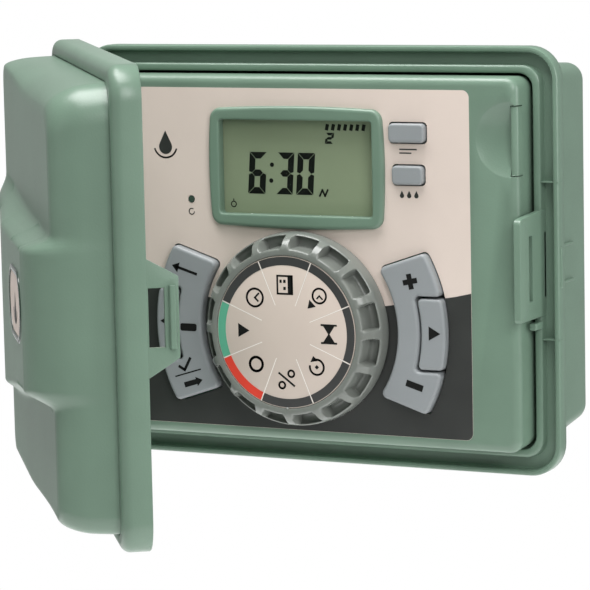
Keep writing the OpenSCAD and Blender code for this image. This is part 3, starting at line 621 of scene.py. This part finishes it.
def case_details():
    """Hinge lugs, lip parts, screw bosses, bushing bosses and the fine marks of the moulding."""
    shells = []
    for s, lug in ((-1, (-79.0, -76.45)), (1, (76.45, 79.0))):
        hinge = (s * HINGE_Z - 4.5, s * HINGE_Z + 4.5)
        shells.append(block((-96, -87.5), (-15.5, 0.5), lug, 0.6))
        shells.append(rod((HINGE_X, HINGE_Y, hinge[0]), (HINGE_X, HINGE_Y, hinge[1]), KNUCKLE_R))
        shells.append(block((HINGE_X, -107.8), (-0.9, 4.1), hinge, 0.3))
    # Catch for the door's tab and the tooth below the strike plate
    shells.append(block((107.9, 109.2), (1.9, 4.0), (-10, 6.6), 0.3))
    shells.append(block((98.5, 101.5), (-7, 1), (-26.5, -23.6), 0.5))
    # Screw bosses of the terminal board and of the transformer with its cover: place and front end
    for x, z, y in ((-80, -22, 34), (24, -22, 34), (38, -42, 49), (86, -42, 49), (54, -9, 40)):
        shells.append(rod((x, y, z), (x, CASE_DEPTH - 1, z), 4))
    for x, boss, _ in BUSHINGS:
        shells.append(rod((x, 31, -77), (x, 31, -70), boss, 64, 0.4))
    # Ribs on the right side of the box, and parting marks on the flange
    for z in (-10.7, 4.5):
        shells.append(block((99, 101.0), (22, 37), (z - 0.6, z + 0.6), 0.3))
    for z in (33, -31):
        shells.append(block((101.3, 108.95), (-0.06, 4.6), (z - 0.16, z + 0.16), 0.05))
    return shells


def make_case():
    shell = build("case_moulding", housing_shell(), GREEN)
    # Lower wall-screw holes, the keyhole's head and its slot, the strike slot
    cut(shell, [rod((x, 50, -58), (x, 60, -58), 2.4) for x in (-70, 70)])
    cut(shell, [rod((0, 50, 56), (0, 60, 56), 4.5)])
    cut(shell, [slab(rounded_rect(-2.4, 2.4, 56, 67.4, 2.3), 60, 50)])
    cut(shell, [box_cutter((100.2, 102), *STRIKE_SLOT)])
    settle(shell, "root", "back_housing")
    details = build("case_details", case_details(), GREEN)
    cut(details, [rod((x, 31, -95), (x, 31, -60), bore) for x, _, bore in BUSHINGS])
    settle(details, "root")
    strike = build("strike_plate", [strike_plate()], GREEN)
    cut(strike, [box_cutter((97, 103), (-13.8, -10.3), (-14, 12.5)), box_cutter((100.2, 103), *STRIKE_SLOT)])
    settle(strike, "root")


make_case()

# ---- Door, drawn closed ----

DOOR_HALF = (112.0, 90.35)
BULGE_HALF = (106.0, 83.6)
DOOR_FACE = 32.5
BAND_FACE = 42.6
WALL_DOOR = 2.4
DOOR_SHARP = 75  # the door's soft edges stay smooth up to this angle

# Inset from the bulge's foot and depth, from the shoulder up to the edge of the face
BULGE_PROFILE = ((0, 10.5), (0.5, 16), (1.3, 21.5), (3.0, 26.0), (5.4, 29.6), (8.3, 31.8), (11.5, DOOR_FACE))
BAND_PROFILE = ((0, 10.5), (0.2, 17), (1.0, 24.0), (3.6, 31.5), (9.0, 37.8), (16.0, 41.2), (23.2, BAND_FACE))


def smooth_step(t):
    t = min(1.0, max(0.0, t))
    return t * t * (3 - 2 * t)


def band_window(x, z):
    """1 on the raised band, 0 off it, with ramps that widen towards the hinge side."""
    free = smooth_step((x + 95) / 180)
    top = 31.5 - 3.5 * free
    low = -50 + 15.5 * free
    ramp = 9.5 - 3.5 * free
    return smooth_step((top - z) / ramp) * smooth_step((z - low) / ramp)


def band_depth(x):
    """Depth of the band's face: it crowns towards the free side."""
    return BAND_FACE + min(0.0, x + 5) * 0.0757


def smooth_profile(t, marks):
    """Point of the smooth curve through the marks, for t from 0 at the first to 1 at the last."""
    f = t * (len(marks) - 1)
    i = min(int(f), len(marks) - 2)
    g = f - i
    p0 = marks[max(i - 1, 0)]
    p1, p2 = marks[i], marks[i + 1]
    p3 = marks[min(i + 2, len(marks) - 1)]
    return tuple(0.5 * (2 * b + (c - a) * g + (2 * a - 5 * b + 4 * c - d) * g * g
                        + (3 * b - a - 3 * c + d) * g ** 3) for a, b, c, d in zip(p0, p1, p2, p3))


def fuller(x, z, half, full):
    """Stretches the face towards the skirt at top and bottom, more so on the hinge side."""
    keep = 1 - (0.68 * smooth_step((20 - x) / 110) if z > 0 else 0.45 + 0.49 * smooth_step((85 - x) / 110))
    return z * (full - (full - half) * keep) / half


def door_skin(wall=0.0):
    """Rings of the door's skin from the skirt's edge to the middle of its face, moved inward by a wall."""
    w = wall
    corner, side = 16, 90

    def ring(hx, hz, r, y, upper_r=None):
        upper_r = upper_r and upper_r - w
        return at_depth(centred_rect(hx - w, hz - w, max(r - w, 1.5), corner, side, upper_r), y + w)

    # Skirt: broken edge, then a rounded front
    hx, hz = DOOR_HALF
    edge = 0.9
    rings = []
    for d, y in ((-0.35, edge), (0.0, edge - 0.5)) if w else ((0.35, edge), (0.0, edge - 0.4)):
        rings.append(at_depth(centred_rect(hx - w - d, hz - w - d, 13 - w - d, corner, side), y))
    for k in range(8):
        a = math.pi / 2 * k / 7
        d = 4.0 * (1 - cos(a))
        rings.append(ring(hx - d, hz - d, 13 - d, -6.5 - 4.0 * sin(a)))

    # Crease at the bulge's foot
    bx, bz = BULGE_HALF
    for out_by, y in ((0.9, -10.5), (0.6, -10.3), (0.45, -9.8), (0.1, -9.8), (0.0, -10.3)):
        rings.append(ring(bx + out_by, bz + out_by, 8 + out_by, y, 14.5 + out_by))

    # Flanks of the bulge, with the band's profile where the band runs over the free side
    steps = 26
    for k in range(1, steps + 1):
        t = k / steps
        d0, y0 = smooth_profile(t, BULGE_PROFILE)
        d1, y1 = smooth_profile(t, BAND_PROFILE)
        base = centred_rect(bx - d0 - w, bz - d0 - w, max(8 - d0 * 0.1 - w, 3), corner, side,
                            14.5 - d0 * 0.25 - w)
        points = []
        for x, z in base:
            free = smooth_step((x - 70) / 20)
            weight = band_window(x, z)
            depth = y0 + (min(y1, band_depth(x)) - y0) * weight * free
            depth += (band_depth(x) - DOOR_FACE) * weight * (1 - free) * t * t
            shift = (d1 - d0) * weight * smooth_step((abs(x) - 80) / 12) if x > 0 else 0.0
            points.append((x - shift, -depth + w, fuller(x, z, bz - d0 - w, bz - w)))
        rings.append(points)

    # Face, closed in the middle by a ring too narrow to see
    last_d = BULGE_PROFILE[-1][0]
    reach = BAND_PROFILE[-1][0] - last_d
    inner_x, inner_z = bx - last_d - w, bz - last_d - w
    count, slit = 46, 0.06
    for k in range(1, count + 1):
        d = (inner_z - slit) * k / count
        tight = min(0.5, 0.8 * (inner_z - d))
        base = centred_rect(inner_x - d, inner_z - d, max(6.85 - w - d, tight), corner, side,
                            max(11.6 - w - d, tight))
        points = []
        for x, z in base:
            weight = band_window(x, z)
            shift = reach * weight * smooth_step((x - 70) / 20) * max(0.0, 1 - d / 35.0)
            depth = DOOR_FACE + (band_depth(x) - DOOR_FACE) * weight
            points.append((x - shift, -depth + w, fuller(x, z, inner_z, bz - w)))
        rings.append(points)
    return rings


def door_knuckles():
    """The door's four knuckles, one on each side of each lug of the case."""
    shells = []
    for s in (-1, 1):
        for t in (-1, 1):
            z = s * HINGE_Z + t * (9 + 7 + 0.8) / 2
            shells.append(rod((HINGE_X, HINGE_Y, z - 3.5), (HINGE_X, HINGE_Y, z + 3.5), KNUCKLE_R))
    return shells


def latch_tab():
    outline = fillet([(12.5, -16.6, 0.5), (12.5, 13.4, 0.5), (0.5, 20.3, 0), (0.5, -24.1, 0)])
    return upright(outline, ((109.8, 0.25), (110.0, 0.0), (111.75, 0.0), (111.9, 0.06), (111.97, 0.25)))


def cut_door(obj, cutters):
    cut(obj, cutters, space=door_space, sharp=DOOR_SHARP)


def make_door():
    shell = build("door_moulding", [skin(door_skin(WALL_DOOR)[::-1] + door_skin())], GREEN,
                  space=door_space, sharp=DOOR_SHARP)
    notches = [box_cutter((-116, -106), (-3.5, 4), (s * HINGE_Z - 4.9, s * HINGE_Z + 4.9)) for s in (-1, 1)]
    cut_door(shell, notches)
    settle(shell, "door", "door_shell")
    build("door_knuckles", door_knuckles(), GREEN, "door", space=door_space)
    tab = build("latch_tab", [latch_tab()], GREEN, space=door_space)
    cut_door(tab, [box_cutter((108, 114), (1.2, 7.2), (-12.6, 9.4))])
    settle(tab, "door")
    ridge = fillet([(111.6, 8.6, 0), (114.2, 9.0, 0.5), (114.2, 10.9, 0.5), (111.6, 11.8, 0)])
    grip = skin([[(x, y, z) for x, y in ridge] for z in (-13.0, 10.2)])
    build("tab_grip", [grip], GREEN, "door", space=door_space)


def make_badge():
    """Raised oval with a drop on the band."""
    y = -42.5
    outer = rounded_rect(34.0, 82.0, -14.9, 12.9, 13.85, 24, 4)
    inner = rounded_rect(36.6, 79.4, -12.3, 10.3, 11.25, 24, 4)
    section = ((-0.1, 0.6), (0, -0.2), (0.15, -0.5), (0.6, -0.65), (1.9, -0.65), (2.4, -0.4), (2.5, 0.6))
    rim = skin([at_depth(inset(outer, d), y + dy) for d, dy in section], loop=True)
    build("badge_rim", [rim], BADGE, "door", "door_badge", space=door_space)
    build("badge_field", [slab(inner, y + 0.5, y - 0.25)], LABEL, "door", space=door_space)
    marks = draw([fill(*drop_points(3.6))], 58, -2.2, 0, y - 0.25)
    marks += draw([line(ring_points(7.6, 205, 335), 1.1)], 58, -0.6, 0, y - 0.25)
    build("badge_marks", marks, INK, "door", space=door_space, smooth=False)


make_door()
make_badge()

# ---- Dial ----

POCKETS = 16
COLUMNS = 30  # columns of the knob's mesh from one pocket to the next
DISC_FACE = -29.2

# Radius and depth of the knob's section: the inner rim, then across a pocket or over a rib, then the skirt
KNOB_RIM = ((31.7, -28.0), (31.7, -29.1), (31.85, -29.4), (32.3, -29.5))
POCKET = ((33.7, -29.5), (34.1, -29.35), (34.4, -28.9), (34.55, -27.6), (34.7, -23.5), (34.9, -21.0),
          (35.3, -20.1), (36, -19.8), (37.3, -19.8), (38.21, -20.1), (38.73, -20.8), (38.92, -21.6),
          (39.12, -22.3), (39.41, -22.5), (39.77, -22.3), (40, -21.5), (40.13, -20.5))
RIB = ((33.9, -29.5), (34.6, -29.4), (35.2, -29.1), (35.8, -28.7), (36.52, -28.1), (37.17, -27.5),
       (37.69, -26.9), (38.08, -26.4), (38.41, -25.9), (38.66, -25.4), (38.92, -24.8), (39.12, -24.3),
       (39.31, -23.8), (39.51, -23.2), (39.7, -22.6), (39.9, -21.9), (40.06, -21.0))
KNOB_SKIRT = ((40.29, -18.0), (40.42, -16.2), (40.29, -15.7), (39.9, -15.5), (36.52, -15.5), (36.52, -17.0),
              (3.1, -17.0), (3.1, -28.0))


def knob_shell():
    columns = POCKETS * COLUMNS
    rings = []
    for k in range(columns):
        a = TAU * k / columns
        phase = abs((k / COLUMNS) % 1 - 0.5) * 2
        hollow = smooth_step((0.77 - phase) / 0.10)
        ring = []
        for (rp, yp), (rr, yr) in zip(KNOB_RIM + POCKET + KNOB_SKIRT, KNOB_RIM + RIB + KNOB_SKIRT):
            r = rp * hollow + rr * (1 - hollow)
            ring.append((r * cos(a), yp * hollow + yr * (1 - hollow), DIAL_Z + r * sin(a)))
        rings.append(ring)
    return skin(rings, loop=True)


def make_dial():
    pip = rod((0, -29.0, DIAL_Z - 31.9), (0, -29.45, DIAL_Z - 31.3), 0.7, 12)
    build("knob_moulding", [knob_shell(), pip], KNOB, "dial", "dial_knob", sharp=50)
    disc = revolve([(0.0, DISC_FACE), (31.3, DISC_FACE), (31.48, -29.1), (31.5, -28.9), (31.5, -27.95),
                    (0.0, -27.95)], (0, DIAL_Z))
    build("disc_moulding", [disc], DISC, "dial", "dial_disc")

    # Ring round the eight sectors, with a green and a red part for running and off
    starts = [22.5 + 45 * k + 0.55 for k in range(8)]
    sectors = [ring_plate(27.7, 31.2, a, a + 45 - 1.1, DISC_FACE) for a in starts]
    for name, parts, colour in (("ring_auto", sectors[3:4], RING_GREEN), ("ring_off", sectors[4:5], RING_RED),
                                ("ring_sectors", sectors[:3] + sectors[5:], RING_DARK)):
        build(name, parts, colour, "dial")
    lines, marks = [], []
    for k, icon in enumerate(DIAL_MARKS):
        a = radians(22.5 + 45 * k)
        c, s = cos(a), sin(a)
        lines += stroke([(c * 12, DIAL_Z + s * 12), (c * 31.2, DIAL_Z + s * 31.2)], 0.28, DISC_FACE, 0.045)
        turn = 90 + 45 * k
        x, z = 19.6 * cos(radians(turn)), DIAL_Z + 19.6 * sin(radians(turn))
        marks += draw(icon, x, z, turn + 180, DISC_FACE, 1.12)
    build("disc_dividers", lines, WHITE_INK, "dial")
    build("disc_marks", marks, BLACK_INK, "dial", smooth=False)


make_dial()

# ---- Panel ----

LABEL_OUTLINE = rounded_rect(-76.8, 76.8, -71.5, 70.7, 3)
LABEL_Y = -PANEL_FACE
LCD = (-0.4, 38.1, 77.6, 48.4)  # middle, width and height of the display's bezel
WINDOW = (69.8, 39.2)
UPPER_KEY = (49.9, 53.2, 15.9, 7.8)
LOWER_KEY = (50.1, 36.1, 13.7, 7.7)
RESET = (-49.8, 23.9)
KEY_BACK, KEY_FRONT, SMALL_KEY_FRONT = -10, -18.4, -17.4
KEY_GAP = 0.55  # round each key, in the face
NOTCH_GAP = 0.85  # between an arrow key and its rocker
SECTOR_IN, SECTOR_OUT, ARROW_IN, ARROW_HALF = 45.0, 66.4, 55.7, 14.6
WEDGE_HALF, WEDGE_SLOPE = 14, 0.335


def wedge_corner(r, grow):
    """Point at radius r on the sector's straight edge, which is moved outward by grow."""
    half = WEDGE_HALF + grow
    a, b, c = 1 + WEDGE_SLOPE ** 2, 2 * WEDGE_SLOPE * half, half ** 2 - r * r
    x = (-b + math.sqrt(b * b - 4 * a * c)) / (2 * a)
    return x, WEDGE_HALF + WEDGE_SLOPE * x + grow


def outline_of(pieces, spacing=1.2):
    """Outline from corners ("c", x, z, radius) and arcs ("a", r, angle0, angle1) about the dial's middle."""
    corners = [(p[1], p[2], p[3]) for p in pieces if p[0] == "c"]
    raw = []
    for p in pieces:
        if p[0] == "c":
            raw.append((p[1], p[2], p[3]))
            continue
        _, r, a0, a1 = p
        steps = max(2, int(abs(radians(a1 - a0)) * r / spacing))
        for q in arc(0, 0, r, a0, a1, steps)[1:-1]:
            if all(math.dist(q, c[:2]) > c[2] * 1.7 + 0.3 for c in corners):
                raw.append((q[0], q[1], 0))
    return fillet(raw, 5)


def angle_of(p):
    return math.degrees(math.atan2(p[1], p[0]))


def arrow_corners(inner, half):
    """Corners of the arrow key or its notch on the inner and the outer arc."""
    return [(math.sqrt(r ** 2 - half ** 2), half) for r in (inner, SECTOR_OUT)]


def mirrored(p):
    return p[0], -p[1]


def sector_outline(grow):
    r = 2.4
    inner, outer = SECTOR_IN - grow, SECTOR_OUT + grow
    pi, po = wedge_corner(inner, grow), wedge_corner(outer, grow)
    return outline_of([("c", *mirrored(po), r), ("a", outer, -angle_of(po), angle_of(po)), ("c", *po, r),
                       ("c", *pi, r), ("a", inner, angle_of(pi), -angle_of(pi)), ("c", *mirrored(pi), r)])


def arrow_outline(r, arrow_in):
    pi, po = arrow_corners(arrow_in, ARROW_HALF)
    return outline_of([("c", *mirrored(po), r), ("a", SECTOR_OUT, -angle_of(po), angle_of(po)), ("c", *po, r),
                       ("c", *pi, r), ("a", arrow_in, angle_of(pi), -angle_of(pi)), ("c", *mirrored(pi), r)])


def rocker_outline(r, arrow_in):
    """Key sector with a notch for the arrow key."""
    inner = arrow_in - NOTCH_GAP
    ni, no = arrow_corners(inner, ARROW_HALF + NOTCH_GAP)
    pi, po = wedge_corner(SECTOR_IN, 0), wedge_corner(SECTOR_OUT, 0)
    return outline_of([("c", *mirrored(po), r), ("a", SECTOR_OUT, -angle_of(po), -angle_of(no)),
                       ("c", *mirrored(no), 1.75), ("c", *mirrored(ni), 1.6),
                       ("a", inner, -angle_of(ni), angle_of(ni)), ("c", *ni, 1.6), ("c", *no, 1.75),
                       ("a", SECTOR_OUT, angle_of(no), angle_of(po)), ("c", *po, r), ("c", *pi, r),
                       ("a", SECTOR_IN, angle_of(pi), -angle_of(pi)), ("c", *mirrored(pi), r)])


def on_side(outline, side):
    """Moves an outline drawn about the dial's middle to one side of it, keeping it counter-clockwise."""
    out = [(side * x, z + DIAL_Z) for x, z in outline]
    return out if side > 0 else out[::-1]


def bowed_rect(cx, cz, w, h, r, bow):
    """Rounded rectangle whose sides swell by bow in their middles."""
    out = []
    for x, z in centred_rect(w / 2, h / 2, r, 8, 12):
        u, v = 2 * x / w, 2 * z / h
        out.append((cx + x + (math.copysign(bow, x) * (1 - v * v) if abs(u) > 0.9 else 0),
                    cz + z + (math.copysign(bow, z) * (1 - u * u) if abs(v) > 0.9 else 0)))
    return out


def rect_at(box, grow=0.0, r=1.8, corner=6):
    cx, cz, w, h = box
    return rounded_rect(cx - w / 2 - grow, cx + w / 2 + grow, cz - h / 2 - grow, cz + h / 2 + grow, r, corner)


def circle(cx, cz, r, steps=48):
    return arc(cx, cz, r, 0, 360, steps)[:-1]


def face_openings():
    """Closed cutters for every opening in the face."""
    outlines = [on_side(sector_outline(KEY_GAP), s) for s in (-1, 1)]
    outlines += [rect_at(UPPER_KEY, KEY_GAP), rect_at(LOWER_KEY, KEY_GAP), circle(*RESET, 1.6, 32),
                 circle(0, DIAL_Z, 4.5), rect_at((LCD[0], LCD[1], LCD[2] - 6, LCD[3] - 6), 0, 4)]
    return [slab(o, -12.0, -30.0) for o in outlines]


def panel_ring(d, y, r, dx=0.0):
    return at_depth(rounded_rect(-97.3 + d, 97.3 - d - dx, -76 + d, 76 - d, r, 10, 10), y)


def panel_moulding():
    """The open shell of the panel, its front edge rounded."""
    outer = [panel_ring(0.9, 6.5, 5, 0.5), panel_ring(0.6, 6.2, 5, 0.5), panel_ring(0, -11.5, 5.5)]
    for k in range(1, 9):
        a = math.pi / 2 * k / 8
        outer.append(panel_ring(3.5 * (1 - cos(a)), -11.5 - 3.5 * sin(a), 5.5 - 2.0 * (k / 8)))
    outer.append(panel_ring(4.0, -PANEL_FACE, 3.2))
    inner = [panel_ring(3.4, 6.5, 3.0), panel_ring(3.3, 6.2, 3.0), panel_ring(3.4, -12.5, 3.0)]
    return skin(inner[::-1] + outer)


def scoop_ball():
    """Ball that hollows the finger scoop beside the latch."""
    r, y, steps = 31.6, -42.6, 64
    half = [(r * sin(math.pi * k / steps), y - r * cos(math.pi * k / steps)) for k in range(1, steps)]
    return revolve([(0, y - r), *half, (0, y + r)], (94.5, 51))


def make_panel():
    shell = build("panel_moulding", [panel_moulding()], GREEN)
    cut(shell, [slab(LABEL_OUTLINE, -14.62, -30)])
    cut(shell, face_openings())
    # The face is thicker behind the scoop, which would break through it otherwise
    cut(shell, [box_cutter((77, 94.5), (-12.8, -8.4), (33, 70))], kind="UNION")
    cut(shell, [scoop_ball()])
    latch_slot = box_cutter((94.2, 98.8), (-30, -8.6), (36.3, 64.7))
    pin_bores = [rod((-92, -11.5, s * 70), (-92, -11.5, s * 80), 1.25) for s in (-1, 1)]
    cut(shell, [latch_slot] + pin_bores)
    settle(shell, "panel", "panel_shell")
    places = [(x, s * z) for x, z in ((-84, 62), (0, 70.5), (84, 62)) for s in (1, -1)]
    bosses = [rod((x, -12.7, z), (x, 4.2, z), 3.6) for x, z in places]
    build("panel_bosses", bosses, GREEN, "panel")
    section = fillet([(94.5, -8.7, 0), (94.5, -14.3, 0.4), (97.2, -14.3, 2.0), (97.2, -8.7, 0)][::-1])
    ends = ((36.7, 0.25), (36.9, 0.0), (64.1, 0.0), (64.3, 0.25))
    tongue = skin([[(x, y, z) for x, y in inset(section, d)] for z, d in ends])
    build("latch_tongue", [tongue], GREEN, "panel", "panel_latch")


def make_label():
    film = build("label_film", [slab(LABEL_OUTLINE, -14.63, LABEL_Y)], LABEL, smooth=False)
    cut(film, face_openings())
    settle(film, "panel", "faceplate_label")
    edge, foot = 76.7, -71.4
    lower = fillet([(-edge, foot, 2.9), (edge, foot, 2.9), (edge, -11.3, 0), (69.6, -12.9, 0), (39, -17.8, 0),
                    (-39, -17.8, 0), (-69.6, -12.9, 0), (-edge, -11.3, 0)])
    dark = build("label_lower", [plate(lower, LABEL_Y)], INK, smooth=False)
    cut(dark, face_openings())
    settle(dark, "panel")


def make_label_marks():
    """Emblem and small marks under the keys."""
    shells = draw([fill(*drop_points(3.1))], -61.5, 47.5, 0, LABEL_Y)
    shells += draw([line(ring_points(5.4, 200, 340), 0.7)], -61.5, 46.5, 0, LABEL_Y)
    shells += draw(BARS, UPPER_KEY[0], UPPER_KEY[1] - 7.6, 0, LABEL_Y)
    for dx in (-3.2, 0, 3.2):
        shells += draw([fill(*drop_points(0.95))], LOWER_KEY[0] + dx, LOWER_KEY[1] - 7.9, 0, LABEL_Y)
    shells += draw([line(ring_points(1.25, 60, 350, 14), 0.4)], RESET[0], RESET[1] - 5.2, 0, LABEL_Y)
    build("label_marks", shells, INK, "panel", smooth=False)


make_panel()
make_label()
make_label_marks()

# ---- Keys ----


def triangle(cx, cz, size, direction):
    """Arrow head that points left or right, keeping its outline counter-clockwise."""
    tip, foot = cx + direction * size * 0.9, cx - direction * size * 0.6
    return [(tip, cz), (foot, cz + size * 0.85), (foot, cz - size * 0.85)][::direction]


def make_side_keys(side, word, arrow_in, marks):
    """Rocker and arrow key on one side of the dial; the marks are (icon, x, z, turn, scale)."""
    body = word + "_rocker"
    cap = pad(on_side(rocker_outline(2.4, arrow_in), side), KEY_BACK, KEY_FRONT, 1.5, 6)
    build(word + "_rocker_cap", [cap], KEY, body, body)
    shells = []
    for icon, x, z, turn, scale in marks:
        shells += draw(icon, x, z, turn, KEY_FRONT, scale)
    build(word + "_rocker_marks", shells, BLACK_INK, body, smooth=False)
    body = word + "_arrow_key"
    cap = pad(on_side(arrow_outline(1.9, arrow_in), side), KEY_BACK, KEY_FRONT, 1.2, 6)
    build(word + "_arrow_cap", [cap], KEY, body, body)
    head = plate(triangle(side * 61.3, DIAL_Z + 0.6, 3.4, side), KEY_FRONT)
    build(word + "_arrow_mark", [head], BLACK_INK, body, smooth=False)


def make_keys():
    make_side_keys(-1, "left", ARROW_IN + 1.5, ((BACK, -52.4, -5.6, -17, 1.15), (DASH, -51.0, -30, 0, 1.0),
                                                (TICK, -51.8, -49.2, 17, 1.25)))
    make_side_keys(1, "right", ARROW_IN, ((PLUS, 51.3, -6.9, 12, 1.0), (MINUS, 52.6, -49.6, -17, 1.0)))
    for name, place in (("upper_key", UPPER_KEY), ("lower_key", LOWER_KEY)):
        cap = pad(rect_at(place, 0, 1.9, 8), KEY_BACK, SMALL_KEY_FRONT, 1.0, 5)
        build(name + "_cap", [cap], KEY, name, name)


make_keys()

# ---- Display ----

CELL_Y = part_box("lcd_cell")[0].y / MM - RIM_Y
BEZEL_FRONT = -17.4
DIGIT_FOOT, DIGIT_HEIGHT = 26.6, 17.4
SLANT = 0.07  # of the digits, sideways per height


def segment_digit(segments, x, w, t, z=DIGIT_FOOT, h=DIGIT_HEIGHT, slant=SLANT):
    """Shells of a seven-segment digit with mitred ends: x is its left edge at the foot, t its stroke."""
    g, m = t * 0.035, h / 2
    side = [(0, h - g * 1.5), (0, m + g + t * 0.2), (t * 0.5, m + g), (t, m + g + t * 0.5),
            (t, h - t - g * 1.5)]
    bar = [(g * 1.5, h), (t + g * 1.5, h - t), (w - t - g * 1.5, h - t), (w - g * 1.5, h)]
    shapes = {
        "a": bar,
        "d": [(p, h - q) for p, q in bar],
        "g": [(t * 0.55, m), (t + g, m - t / 2), (w - t - g, m - t / 2), (w - t * 0.55, m),
              (w - t - g, m + t / 2), (t + g, m + t / 2)],
        "f": side,
        "b": [(w - p, q) for p, q in side],
        "e": [(p, h - q) for p, q in side],
        "c": [(w - p, h - q) for p, q in side],
    }
    out = []
    for s in segments:
        shape = shapes[s] if s in "afgc" else shapes[s][::-1]
        out.append(plate([(x + p + slant * q, z + q) for p, q in shape], CELL_Y))
    return out


def display_frame(opening):
    """The bezel: a tongue behind the face, a rounded outer edge and a hollow inner edge round the opening."""
    cx, cz, w, h = LCD
    outer = bowed_rect(cx, cz, w, h, 4.2, 1.2)
    tongue = bowed_rect(cx, cz, w - 6.2, h - 6.2, 4, 0.0)
    rings = [at_depth(tongue, -12.9), at_depth(tongue, -15.02), at_depth(outer, -15.02)]
    for k in range(6):
        a = math.pi / 2 * k / 5
        rings.append(at_depth(inset(outer, 1.5 * (1 - cos(a))), BEZEL_FRONT + 1.5 - 1.5 * sin(a)))
    rings += [at_depth(inset(outer, 1.8), BEZEL_FRONT), at_depth(inset(opening, -1.0), BEZEL_FRONT)]
    for k in range(1, 5):
        a = math.pi / 2 * k / 4
        rings.append(at_depth(inset(opening, -0.7 * (1 - sin(a))), BEZEL_FRONT + 0.7 * (1 - cos(a))))
    rings += [at_depth(opening, -14.0), at_depth(opening, -12.9)]
    return skin(rings, loop=True)


def display_marks():
    """The time 6:30, a row of seven bars, a small 2 and two small signs."""
    shells = segment_digit("afgedc", -24.4, 8.0, 2.75)
    shells += segment_digit("abgcd", -11.4, 7.6, 2.7)
    shells += segment_digit("abcdef", -2.2, 7.9, 2.7)
    for z in (32.2, 38.8):
        shells.append(plate(circle(-13.9 + SLANT * (z - 26.5), z, 0.95, 20), CELL_Y))
    for k in range(7):
        x = 12.4 + 2.75 * k
        shells += stroke([(x, 54.2), (x + 0.25, 55.3)], 1.5, CELL_Y)
    shells += segment_digit("abged", 11.4, 3.7, 1.1, 47.9, 4.6, 0.15)
    shells += draw(SMALL_RING, -31.2, 22.0, 0, CELL_Y)
    shells += draw(ZIGZAG, 10.6, 27.6, 0, CELL_Y)
    return shells


def make_display():
    opening = bowed_rect(LCD[0], LCD[1], WINDOW[0], WINDOW[1], 1.5, 0.0)
    build("display_frame", [display_frame(opening)], GREEN, "panel", "lcd_bezel")
    pane = pad(inset(opening, 0.02), -14.4, -15.6, 0.2, 3)
    build("display_pane", [pane], CLEAR, "panel", "lcd_window")
    build("display_segments", display_marks(), LCD_INK, "panel", smooth=False)


make_display()
